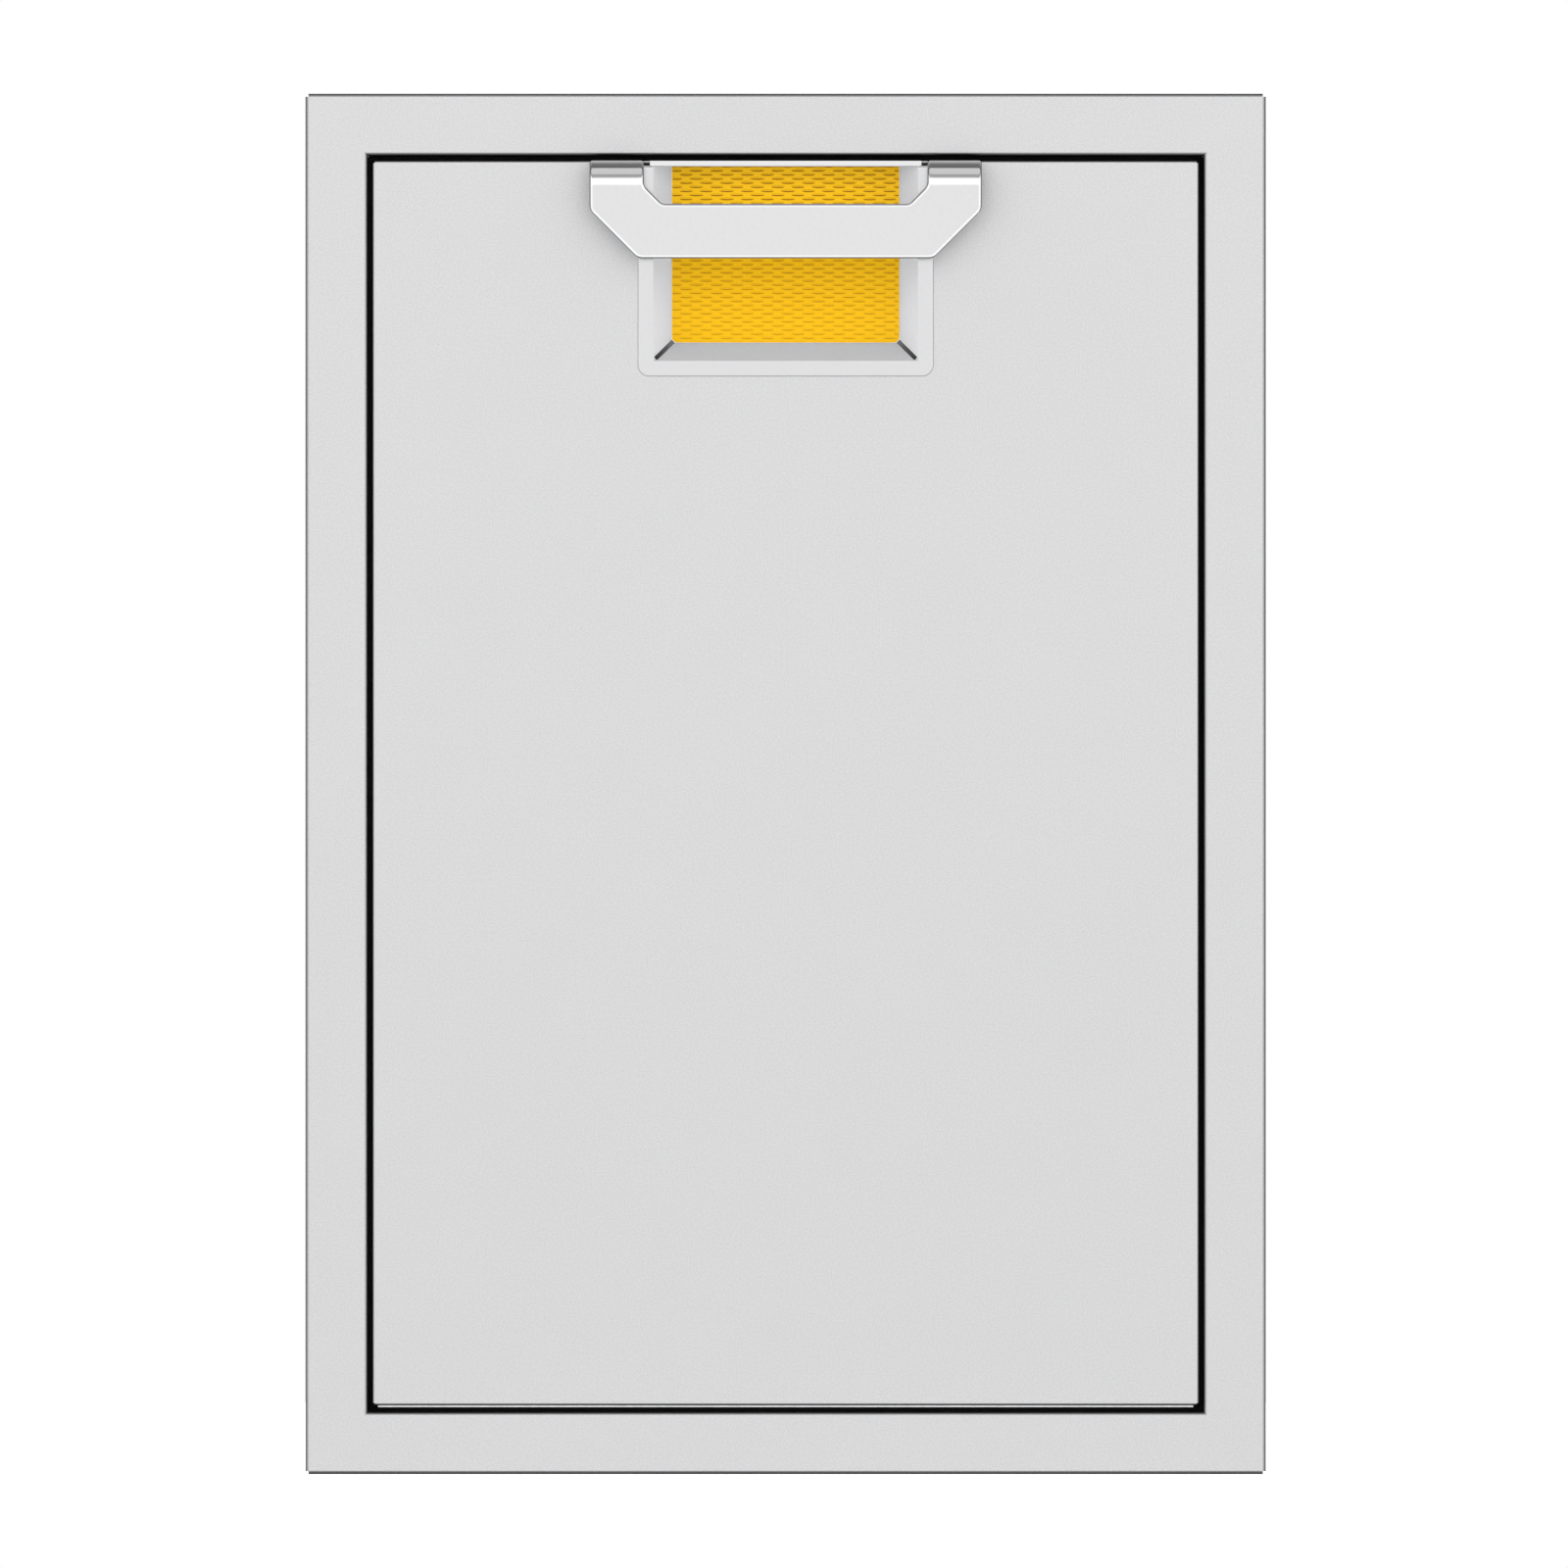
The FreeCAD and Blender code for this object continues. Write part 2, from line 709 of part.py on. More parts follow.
def ball_cage(low_u, high_u, low_v, ball_u, ball_v, diameter):
    """Upper and lower retainer strips with a pocket for each ball."""
    strips = []
    for sign in (1, -1):
        corners = [slide_place(low_u, sign * low_v), slide_place(high_u, sign * (low_v + cage_steel))]
        x = sorted(c.x for c in corners)
        z = sorted(c.z for c in corners)
        strips.append(block(x, (cage_front_y(), cage_front_y() + cage_length()), z))
    rise = ball_v - low_v - cage_steel
    radius = math.sqrt(diameter ** 2 / 4 - rise ** 2) + cage_pocket_play
    depth = ball_v - low_v
    pockets = []
    for centre in ball_places(ball_u, ball_v):
        outwards = Z if centre.z > slide_z else Z * -1
        pockets.append(Part.makeCylinder(radius, 2 * depth, centre - outwards * 2 * depth, outwards))
    return Part.makeCompound(strips).cut(Part.makeCompound(pockets))


def outer_cage():
    """The retainer between the outer and middle members."""
    low_u = slide_steel + slide_lip_gap
    return ball_cage(low_u, outer_reach, middle_half + cage_lift, outer_ball_u, outer_ball_v, outer_ball)


def inner_cage():
    """The retainer between the middle and inner members."""
    high_u = middle_reach - slide_lip_gap
    return ball_cage(inner_tip, high_u, inner_half + cage_lift, inner_ball_u, inner_ball_v, inner_ball)


def ball_row(u, v, diameter):
    """The steel balls of one cage."""
    return Part.makeCompound([Part.makeSphere(diameter / 2, centre) for centre in ball_places(u, v)])


def fastener_ys():
    """Places along a slide where it is fastened."""
    ends = (slide_front_y + slide_fastener_margin, slide_back_y - slide_fastener_margin)
    return spread(*ends, slide_fastener_count)


def slide_rivet_seats():
    """Rivets from outside the cabinet through the side panel into the slide's outer member."""
    return [Vector(-side_outer_x, y, slide_z) for y in fastener_ys()]


def slide_rivets():
    return rivets(slide_rivet_seats(), X, side_steel + slide_steel, rivet_flat)


def slide_screw_seats():
    """Screws from inside the tray into the slide's inner member."""
    return [Vector(-tray_x + tray_steel, y, slide_z) for y in fastener_ys()]


def slide_screws():
    return pan_screws(slide_screw_seats(), X * -1, tray_steel + slide_steel)


def drawer_tray():
    """The pan that carries the bins, bolted to the door at the front and to the slides at its sides."""
    length = tray_back_y - door_back_y
    walls = {side: tray_wall for side in ("left", "right", "front", "back")}
    tray = folded_pan(2 * tray_x, length, walls, tray_steel, sheet_bend)
    tray = tray.translated(Vector(0, door_back_y + length / 2, tray_bottom))
    for seats in (slide_screw_seats(), bracket_rivet_seats()):
        tray = drilled(tray, seats, screw_hole, X)
        tray = drilled(tray, [Vector(-s.x, s.y, s.z) for s in seats], screw_hole, X)
    return drilled(tray, door_screw_seats(), screw_hole, Y)


def bin_rails():
    """Low channels across the tray, one behind each bin, that keep the bins from sliding."""
    half = rail_width / 2
    length = 2 * (tray_x - tray_steel - sheet_bend)
    path = [(half, 0), (half, rail_height), (-half, rail_height), (-half, 0)]
    rails = []
    for bay in (1, 2):
        y = first_bay_y + bay * bin_bay
        place = Vector(-length / 2, y, tray_floor)
        section = folded_face(path, tray_steel, [sheet_bend] * 2, lambda a, b: place + Y * a + Z * b)
        rails.append(section.extrude(X * length))
    return Part.makeCompound(rails)


def bracket_rivet_seats():
    """Rivets through the left tray wall into the foot of the door bracket."""
    ends = (door_back_y + bracket_rivet_margin, door_back_y + bracket_reach - bracket_rivet_margin)
    return [Vector(-tray_x, y, wall_top - bracket_foot / 2) for y in spread(*ends, bracket_rivet_count)]


def bracket_rivets():
    return rivets(bracket_rivet_seats(), X, tray_steel + bracket_steel, rivet_flat)


def door_bracket():
    """A left gusset from the tray wall up the back of the door, with a flange screwed to the liner."""
    outer_x = -tray_x + tray_steel
    top = wall_top + bracket_height - bracket_foot
    start_y = door_back_y + tray_steel + bracket_clearance
    end_y = door_back_y + bracket_reach
    path = [(outer_x, end_y), (outer_x, door_back_y), (outer_x + bracket_flange, door_back_y)]
    low = wall_top + bracket_clearance
    section = folded_face(path, bracket_steel, [sheet_bend], lambda a, b: Vector(a, b, low))
    angle = section.extrude(Z * (top - low))
    slope = [
        Vector(outer_x, door_back_y, low),
        Vector(outer_x, end_y, low),
        Vector(outer_x, door_back_y + bracket_tip, top),
        Vector(outer_x, door_back_y, top),
    ]
    gusset = angle.common(Part.Face(Part.makePolygon(slope + slope[:1])).extrude(X * bracket_flange))
    foot = block((outer_x, outer_x + bracket_steel), (start_y, end_y), (wall_top - bracket_foot, low))
    bracket = drilled(fused([gusset, foot]), bracket_rivet_seats(), rivet_hole, X)
    return drilled(bracket, door_screw_seats(), screw_hole, Y)


def bracket_screw_seats():
    """Screws through both brackets' flanges into the door liner."""
    x = tray_x - tray_steel - (bracket_flange + bracket_steel + sheet_bend) / 2
    ends = (wall_top + bracket_screw_margin, wall_top + bracket_height - bracket_foot - bracket_screw_margin)
    heights = spread(*ends, bracket_screw_count)
    return [Vector(side * x, door_back_y + bracket_steel, z) for side in (-1, 1) for z in heights]


def tray_front_seats():
    """Screws through the tray's front wall into the door liner."""
    z = tray_bottom + tray_wall / 2
    places = (-tray_screw_spread / 2, 0, tray_screw_spread / 2)
    return [Vector(x, door_back_y + tray_steel, z) for x in places]


def door_screw_seats():
    return bracket_screw_seats() + tray_front_seats()


def door_screws():
    """Screws that hold the door to the tray and its brackets."""
    return pan_screws(door_screw_seats(), Y * -1, screw_length)


def rear_screws():
    """Screws through the rear wall into the side panels' flanges."""
    return pan_screws(rear_screw_seats(), Y * -1, screw_length)


def bin_loop(half_width, half_depth, corner, centre_y, z):
    """A rounded rectangle at one height of a bin."""
    corners = [(-1, -1), (1, -1), (1, 1), (-1, 1)]
    points = [(half_width * a, half_depth * b) for a, b in corners]
    return rounded_face(points, [corner] * len(points), lambda a, b: Vector(a, centre_y + b, z))


def bin_block(inset, centre_y, low, high):
    """A tapered block of the bin's outer shape, set in by a wall, between two heights."""
    loops = []
    for z in (low, high):
        lean = bin_taper * (1 - (z - tray_floor) / bin_height) + inset
        half_width = bin_half_width - bin_rim - lean
        half_depth = bin_half_depth - bin_rim - lean
        loops.append(bin_loop(half_width, half_depth, bin_corner - lean, centre_y, z).OuterWire)
    return Part.makeLoft(loops, True, True)


def waste_bin(centre_y):
    """A tapered moulded bin with a foot ring and a rim that turns down into a grip all round."""
    top = tray_floor + bin_height
    skirt_low = top - bin_rim_skirt
    base_top = tray_floor + bin_foot + bin_base
    body = bin_block(0, centre_y, tray_floor, top)
    rim = bin_loop(bin_half_width, bin_half_depth, bin_corner + bin_rim, centre_y, skirt_low)
    rim = rim.extrude(Z * bin_rim_skirt)
    inside = bin_loop(
        bin_half_width - bin_wall,
        bin_half_depth - bin_wall,
        bin_corner + bin_rim - bin_wall,
        centre_y,
        skirt_low,
    ).extrude(Z * (bin_rim_skirt - bin_wall))
    hollow = bin_block(bin_wall, centre_y, base_top, top)
    foot = bin_block(bin_foot_width, centre_y, tray_floor, tray_floor + bin_foot)
    return fused([rim.cut(inside), body]).cut(hollow).cut(foot)


def front_bin():
    return waste_bin(first_bay_y + bin_bay / 2)


def rear_bin():
    return waste_bin(first_bay_y + bin_bay * 3 / 2)


def pair(name, shape):
    """The left and right copies of a piece that the drawer has on both sides."""
    return {f"left_{name}": shape, f"right_{name}": mirrored(shape)}


def main():
    nodes = {
        "face_frame": face_frame(),
        "door_seal": door_seal(),
        "floor_pan": floor_pan(),
        "back_panel": back_panel(),
        "rear_tie": rear_tie(),
        "rear_screws": rear_screws(),
        "closing_bumpers": closing_bumpers(),
        "door_skin": door_skin(),
        "door_liner": door_liner(),
        "handle_recess": handle_recess(),
        "accent_panel": accent_panel(),
        "pull_handle": pull_handle(),
        "handle_screws": handle_screws(),
        "drawer_tray": drawer_tray(),
        "bin_rails": bin_rails(),
        "door_screws": door_screws(),
        "front_bin": front_bin(),
        "rear_bin": rear_bin(),
    }
    nodes.update(pair("side_panel", side_panel()))
    nodes.update(pair("slide_outer", slide_outer()))
    nodes.update(pair("slide_middle", slide_middle()))
    nodes.update(pair("slide_inner", slide_inner()))
    nodes.update(pair("outer_ball_cage", outer_cage()))
    nodes.update(pair("inner_ball_cage", inner_cage()))
    nodes.update(pair("outer_balls", ball_row(outer_ball_u, outer_ball_v, outer_ball)))
    nodes.update(pair("inner_balls", ball_row(inner_ball_u, inner_ball_v, inner_ball)))
    nodes.update(pair("slide_rivets", slide_rivets()))
    nodes.update(pair("slide_screws", slide_screws()))
    nodes.update(pair("door_bracket", door_bracket()))
    nodes.update(pair("bracket_rivets", bracket_rivets()))
    os.makedirs("parts", exist_ok=True)
    for name, shape in nodes.items():
        shape.exportStep(f"parts/{name}.step")
        print(f"{name}: {len(shape.Solids)} solids, {shape.Volume / 1000:.2f} cm3, valid: {shape.isValid()}")


main()
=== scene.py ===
# %% [markdown]
# # A roll-out trash drawer for an outdoor kitchen
# The drawer arrives as a imported frame of solid pieces: a folded face frame, an inset door with a recessed
# pull, a sheet steel cabinet, telescopic slides, a tray and two lift-out bins. Every piece already has its
# place in one frame, in metres, so this lesson only adds what solids lack: finishes, embossing, ground
# edges, moulded plastic and light. The box round the bare frame is measured and kept, and its lowest point
# sets the floor. The box round the bare frame is kept, because nothing made here may grow past it.

# %% Load the frame
import json
import math
import bpy
import numpy as np
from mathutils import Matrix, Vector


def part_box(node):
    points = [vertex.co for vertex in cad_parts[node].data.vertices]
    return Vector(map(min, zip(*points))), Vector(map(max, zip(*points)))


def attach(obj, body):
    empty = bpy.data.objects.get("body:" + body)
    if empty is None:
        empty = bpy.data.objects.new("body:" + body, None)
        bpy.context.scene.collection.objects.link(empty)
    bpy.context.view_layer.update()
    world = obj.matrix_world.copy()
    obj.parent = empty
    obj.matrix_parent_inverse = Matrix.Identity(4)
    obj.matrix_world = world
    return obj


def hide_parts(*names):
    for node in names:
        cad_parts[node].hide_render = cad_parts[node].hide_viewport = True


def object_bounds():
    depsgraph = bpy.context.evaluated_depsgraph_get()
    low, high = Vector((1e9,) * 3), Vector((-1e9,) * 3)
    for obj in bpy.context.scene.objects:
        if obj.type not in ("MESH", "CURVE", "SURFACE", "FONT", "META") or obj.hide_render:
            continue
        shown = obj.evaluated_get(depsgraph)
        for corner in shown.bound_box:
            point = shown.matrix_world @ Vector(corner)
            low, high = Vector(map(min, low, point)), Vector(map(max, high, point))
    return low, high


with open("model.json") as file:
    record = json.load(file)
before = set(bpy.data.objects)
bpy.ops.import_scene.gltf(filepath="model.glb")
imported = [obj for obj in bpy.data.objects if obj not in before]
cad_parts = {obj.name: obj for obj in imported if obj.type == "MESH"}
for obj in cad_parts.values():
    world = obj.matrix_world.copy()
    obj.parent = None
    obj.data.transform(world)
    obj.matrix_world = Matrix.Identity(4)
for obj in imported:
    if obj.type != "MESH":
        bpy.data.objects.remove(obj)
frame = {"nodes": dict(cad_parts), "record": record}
cad_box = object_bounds()
MM = 0.001
print("frame box in mm:", [round(c / MM, 1) for corner in cad_box for c in corner])

# %% [markdown]
# ## The camera
# The photograph looks straight at the door from far away: the frame's two returns are equally thin and the
# black gap round the door is as wide above as below. A long lens at a long distance gives that flat view and
# is still a real lens, so turning round the object later keeps a believable perspective. The image width at
# the door's face fixes the distance: width times lens over sensor, by similar triangles.

# %% Camera
VIEW_WIDTH = 829.4 * MM
VIEW_SHIFT_X = -0.88 * MM
LENS_MM = 1500
SENSOR_MM = 36
CAMERA_REACH = 100

face_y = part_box("door_skin")[0].y
frame_low, frame_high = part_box("face_frame")
middle_z = (frame_low.z + frame_high.z) / 2
camera_data = bpy.data.cameras.new("product_camera")
camera_data.lens = LENS_MM
camera_data.sensor_width = SENSOR_MM
camera_data.clip_end = CAMERA_REACH
camera = bpy.data.objects.new("product_camera", camera_data)
bpy.context.scene.collection.objects.link(camera)
camera.location = (VIEW_SHIFT_X, face_y - VIEW_WIDTH * LENS_MM / SENSOR_MM, middle_z)
camera.rotation_euler = (math.pi / 2, 0, 0)
bpy.context.scene.camera = camera
print("camera stands", round(face_y - camera.location.y, 2), "m in front of the door")

# %% [markdown]
# ## The studio
# A polished bend shows whatever stands round it, so the light is one large soft room instead of a few lamps.
# Its brightness changes with direction, like a photographer's tent: bright cloth ahead with a small opening
# for the lens, a darker seam above it, a paler roof, and a dim room behind the drawer. The handle's bends
# then show the stripes that bent plate has in a studio, and thin edges turn dark where they begin to mirror
# the room behind, a dark that the steel finishes deepen with painted shade. The camera itself sees plain
# white behind the object, so only the reflections carry the tent. A few small helpers come first, because
# every finish is wired from the same handful of nodes.

# %% Shader helpers
MIX_FIRST, MIX_SECOND, MIX_RESULT = 6, 7, 2


def feed(tree, entry, value):
    """Links a socket to a node's input, or sets the input to a plain value."""
    if isinstance(value, bpy.types.NodeSocket):
        tree.links.new(value, entry)
    else:
        entry.default_value = value


def add(tree, kind, **values):
    """A node with some of its inputs fed by name."""
    node = tree.nodes.new(kind)
    for name, value in values.items():
        feed(tree, node.inputs[name.replace("_", " ")], value)
    return node


def coordinates(tree, kind):
    """The coordinates of one kind at the shaded point."""
    return tree.nodes.new("ShaderNodeTexCoord").outputs[kind]


def grey(level):
    """The same value in red, green and blue."""
    return (level, level, level, 1)


def grey_ramp(tree, value, stops):
    """The grey at a value, from a ramp through (position, level) stops."""
    node = add(tree, "ShaderNodeValToRGB", Fac=value)
    elements = node.color_ramp.elements
    while len(elements) < len(stops):
        elements.new(1)
    for element, (position, level) in zip(elements, stops):
        element.position = position
        element.color = grey(level)
    return node.outputs["Color"]


def span(tree, value, low, high, to_low=0, to_high=1):
    """The value's place between low and high, as a smooth step from to_low to to_high."""
    node = add(tree, "ShaderNodeMapRange", From_Min=low, From_Max=high, To_Min=to_low, To_Max=to_high)
    node.interpolation_type = "SMOOTHSTEP"
    feed(tree, node.inputs["Value"], value)
    return node.outputs["Result"]


def blend_values(tree, share, first, second):
    """The first value where share is 0 and the second where it is 1."""
    return add(tree, "ShaderNodeMix", Factor=share, A=first, B=second).outputs["Result"]


def blend_colours(tree, share, first, second, way="MIX"):
    """Two colours blended by a share: the first at 0 and, in the plain way, the second at 1."""
    node = tree.nodes.new("ShaderNodeMix")
    node.data_type = "RGBA"
    node.blend_type = way
    for slot, value in (("Factor", share), (MIX_FIRST, first), (MIX_SECOND, second)):
        feed(tree, node.inputs[slot], value)
    return node.outputs[MIX_RESULT]


def math_node(tree, operation, *values):
    """One arithmetic step on sockets or numbers."""
    node = tree.nodes.new("ShaderNodeMath")
    node.operation = operation
    for entry, value in zip(node.inputs, values):
        feed(tree, entry, value)
    return node.outputs[0]


print("shader helpers ready")

# %% Studio tent
FRONT_BY_HEIGHT = (
    (-0.2, 1.0), (0.05, 1.28), (0.55, 1.28), (0.59, 0.55), (0.77, 0.38), (0.81, 0.70), (1.0, 0.72),
)
BACK_BY_HEIGHT = ((0.0, 0.45), (0.45, 0.42), (0.60, 0.28), (0.80, 0.23), (1.0, 0.165))
TOWARDS_LENS = (0, -1, 0)
LENS_OPENING = 0.96
OPENING_EDGE = (0.05, 0.10)
ROOM_SEAM = (-0.07, 0.0)

world = bpy.data.worlds.new("studio_room")
bpy.context.scene.world = world
world.use_nodes = True
sky = world.node_tree
sky.nodes.clear()
direction = coordinates(sky, "Generated")
parts = add(sky, "ShaderNodeSeparateXYZ", Vector=direction).outputs
height = add(sky, "ShaderNodeMapRange", Value=parts["Z"], From_Min=-1).outputs["Result"]


def bands_by_height(bands):
    """The room's grey by height, from (height, level) pairs with heights from -1 to 1."""
    return grey_ramp(sky, height, [((z + 1) / 2, level) for z, level in bands])


off_axis = sky.nodes.new("ShaderNodeVectorMath")
off_axis.operation = "DISTANCE"
for entry, value in zip(off_axis.inputs, (direction, TOWARDS_LENS)):
    feed(sky, entry, value)
past_opening = span(sky, off_axis.outputs["Value"], *OPENING_EDGE)
cloth = blend_colours(sky, past_opening, grey(LENS_OPENING), bands_by_height(FRONT_BY_HEIGHT))
past_seam = span(sky, parts["Y"], *ROOM_SEAM)
round_room = blend_colours(sky, past_seam, cloth, bands_by_height(BACK_BY_HEIGHT))
print("studio tent with", len(FRONT_BY_HEIGHT), "front and", len(BACK_BY_HEIGHT), "back bands")

# %% Studio light
ROOM_STRENGTH = 1.34

lit = add(sky, "ShaderNodeBackground", Color=round_room, Strength=ROOM_STRENGTH)
seen = add(sky, "ShaderNodeBackground", Color=grey(1.0), Strength=1.0)
ray = sky.nodes.new("ShaderNodeLightPath")
either = sky.nodes.new("ShaderNodeMixShader")
sky.links.new(ray.outputs["Is Camera Ray"], either.inputs["Fac"])
sky.links.new(lit.outputs["Background"], either.inputs[1])
sky.links.new(seen.outputs["Background"], either.inputs[2])
out = sky.nodes.new("ShaderNodeOutputWorld")
sky.links.new(either.outputs["Shader"], out.inputs["Surface"])
bpy.context.scene.view_settings.view_transform = "Standard"
print("room light of strength", ROOM_STRENGTH)

# %% [markdown]
# ## The floor
# The part stands on a pale floor that runs off to white. A flat disc is enough: a ring of points worked out
# as radius times cosine and sine. A little of its brightness is its own, as on a lit table, so its far side
# meets the white background without a line.

# %% Floor
FLOOR_RADIUS = 4.0
FLOOR_SIDES = 96
FLOOR_GREY = 0.8
FLOOR_ROUGHNESS = 0.9
FLOOR_GLOW = (0.62, 0.8)


def mesh_object(name, points, faces):
    """An object at the origin whose mesh has these points and faces."""
    mesh = bpy.data.meshes.new(name)
    mesh.from_pydata(points.reshape(-1, 3).tolist(), [], faces)
    mesh.update()
    made = bpy.data.objects.new(name, mesh)
    bpy.context.scene.collection.objects.link(made)
    return made


floor_z = cad_box[0].z
turn = np.linspace(0, 2 * np.pi, FLOOR_SIDES, endpoint=False)
rim = [FLOOR_RADIUS * np.cos(turn), FLOOR_RADIUS * np.sin(turn), np.full(FLOOR_SIDES, floor_z)]
floor = mesh_object("studio_floor", np.stack(rim, axis=1), [list(range(FLOOR_SIDES))])
floor_finish = bpy.data.materials.new("pale_floor")
floor_finish.use_nodes = True
floor_nodes = floor_finish.node_tree
floor_shader = floor_nodes.nodes["Principled BSDF"]
floor_shader.inputs["Base Color"].default_value = grey(FLOOR_GREY)
floor_shader.inputs["Roughness"].default_value = FLOOR_ROUGHNESS
floor_shader.inputs["Specular IOR Level"].default_value = 0.0
floor_shader.inputs["Emission Color"].default_value = grey(1.0)
floor_ray = floor_nodes.nodes.new("ShaderNodeLightPath")
floor_glow = span(floor_nodes, floor_ray.outputs["Is Camera Ray"], 0.0, 1.0, *FLOOR_GLOW)
floor_nodes.links.new(floor_glow, floor_shader.inputs["Emission Strength"])
floor.data.materials.append(floor_finish)
print("floor at z =", round(floor_z / MM, 2), "mm")

# %% [markdown]
# ## Two effects that several finishes share
# Rolled, blasted or brushed sheet never has one even grey: its surface is a field of tiny facets, some
# lighter and some smoother. One node group makes that grain from a fine noise and a cloudy one. A second
# group makes the faint marks that hands and cloths leave. Each finish places these groups with its own scale
# and values, so the grain is built once and every sheet still differs.

# %% Sheet grain group
NUMBER = "NodeSocketFloat"
COLOUR = "NodeSocketColor"
VECTOR = "NodeSocketVector"
NOISE_RANGE = (0.3, 0.7)


def new_group(name, inputs, outputs):
    """An empty shader group with named sockets, given as (name, type) pairs, and its two end nodes."""
    tree = bpy.data.node_groups.new(name, "ShaderNodeTree")
    for side, sockets in (("INPUT", inputs), ("OUTPUT", outputs)):
        for socket_name, kind in sockets:
            tree.interface.new_socket(name=socket_name, in_out=side, socket_type=kind)
    return tree, tree.nodes.new("NodeGroupInput").outputs, tree.nodes.new("NodeGroupOutput").inputs


sheet_grain, given, result = new_group(
    "sheet_grain",
    [("Vector", VECTOR), ("Fineness", NUMBER), ("Cloudiness", NUMBER), ("Dark", COLOUR), ("Light", COLOUR),
     ("Smooth", NUMBER), ("Rough", NUMBER)],
    [("Color", COLOUR), ("Roughness", NUMBER), ("Height", NUMBER)],
)
place = given["Vector"]
fine = add(sheet_grain, "ShaderNodeTexNoise", Vector=place, Scale=given["Fineness"], Detail=1.0,
           Roughness=0.5)
cloudy = add(sheet_grain, "ShaderNodeTexNoise", Vector=place, Scale=20.0, Detail=2.0, Roughness=0.5)
both = blend_values(sheet_grain, given["Cloudiness"], fine.outputs["Fac"], cloudy.outputs["Fac"])
share = span(sheet_grain, both, *NOISE_RANGE)
sheet_grain.links.new(blend_colours(sheet_grain, share, given["Dark"], given["Light"]), result["Color"])
sheet_grain.links.new(blend_values(sheet_grain, share, given["Rough"], given["Smooth"]), result["Roughness"])
sheet_grain.links.new(fine.outputs["Fac"], result["Height"])
print("group", sheet_grain.name, "gives", [s.name for s in result if s.name])

# %% Handling marks group
SMEAR_RANGE = (0.52, 0.72)

handling_marks, given, result = new_group(
    "handling_marks",
    [("Vector", VECTOR), ("Size", NUMBER), ("Roughness", NUMBER), ("Amount", NUMBER)],
    [("Roughness", NUMBER)],
)
smears = add(handling_marks, "ShaderNodeTexNoise", Vector=given["Vector"], Scale=given["Size"], Detail=4.0,
             Roughness=0.55, Distortion=0.8)
patch = span(handling_marks, smears.outputs["Fac"], *SMEAR_RANGE)
marked = math_node(handling_marks, "MULTIPLY_ADD", patch, given["Amount"], given["Roughness"])
handling_marks.links.new(marked, result["Roughness"])
print("group", handling_marks.name, "gives", [s.name for s in result if s.name])

# %% [markdown]
# ## Sheet steel finishes
# Apart from the zinc-plated slides, the sheets are stainless steel, but their faces differ: the door and
# frame have a fine satin face, the recess is a little paler, the handle is polished, and the cabinet behind
# keeps its mill finish with a long grain. One function builds them all: Object coordinates, stretched along
# the grain, feed the two groups, and the metal's own shader turns the result into reflections. Metal has no
# diffuse colour, so its base colour is how much it reflects.

# %% Finish helpers
COOL_TINT = 1.012


def new_finish(name, metallic):
    """A material with its Principled shader and its Object coordinates."""
    finish = bpy.data.materials.new(name)
    finish.use_nodes = True
    tree = finish.node_tree
    shader = tree.nodes["Principled BSDF"]
    shader.inputs["Metallic"].default_value = metallic
    return finish, tree, shader, coordinates(tree, "Object")


def place_group(tree, group, **values):
    """The outputs of a group node with its inputs fed by name."""
    node = tree.nodes.new("ShaderNodeGroup")
    node.node_tree = group
    for name, value in values.items():
        feed(tree, node.inputs[name], value)
    return node.outputs


def bump(tree, shader, height, strength, depth):
    """Turns a height into a normal for the shader."""
    node = add(tree, "ShaderNodeBump", Strength=strength, Distance=depth, Height=height)
    tree.links.new(node.outputs["Normal"], shader.inputs["Normal"])


def tinted(level, contrast):
    """A darker and a lighter steel grey round one level, both a trace cool."""
    return [(level * k, level * k, level * k * COOL_TINT, 1) for k in (1 - contrast, 1 + contrast)]


print("finish helpers ready")

# %% [markdown]
# ## Painted shade and highlight by direction, and buffed faces
# The direction of the surface tells where folds, edges and hollows are, so a ramp over the mesh normal
# paints light and shade into the metal's colour. On the satin sheet, folds, cut edges, returns and faces
# that look down get painted shade. In the recess, the leaning walls are painted lighter than the flange, the
# flange's rounded outline darker, and faces that look up get painted shade. On the polished handle, the edge
# rounds get a painted highlight beside a painted dark line. The same direction finds the flat flange of the
# recess, which is buffed, and two faces with a painted grey: painted light on the strip along the top of the
# recess, and painted shade on the inside of the door, which is only seen through the open mitres at the
# recess's corners.

# %% Painted light and shade by direction
END_TO_END = {"HEIGHT": "Z", "DEPTH": "Y"}


def facing(tree, axis):
    """How squarely a face looks along an axis, from the normal of the mesh.

    X and Y count in both directions, from 0 (along the sheet) to 1 (straight at it). HEIGHT runs from 0 (a
    face that looks down) to 1 (up), and DEPTH from 0 (a face that looks to the front) to 1 (to the rear).
    """
    turned = add(tree, "ShaderNodeSeparateXYZ", Vector=coordinates(tree, "Normal")).outputs
    if axis in END_TO_END:
        return math_node(tree, "MULTIPLY_ADD", turned[END_TO_END[axis]], 0.5, 0.5)
    return math_node(tree, "ABSOLUTE", turned[axis])


def painted_light_by_facing(tree, colour, tones):
    """The colour times one ramp for each axis in tones, read at how squarely the face looks that way:
    painted light and shade.
    """
    for axis, stops in tones.items():
        tone = grey_ramp(tree, facing(tree, axis), stops)
        colour = blend_colours(tree, 1.0, colour, tone, "MULTIPLY")
    return colour


print("tones can follow X, Y,", ", ".join(END_TO_END))

# %% Sheet steel
MARK_SIZE = 9.0
GRAIN_DEPTH = 0.02 * MM
STRAIGHT_AHEAD = (0.95, 0.985)
TURNED_AWAY = (0.2, 0.3)
HEIGHT_EDGE = 0.5 * MM


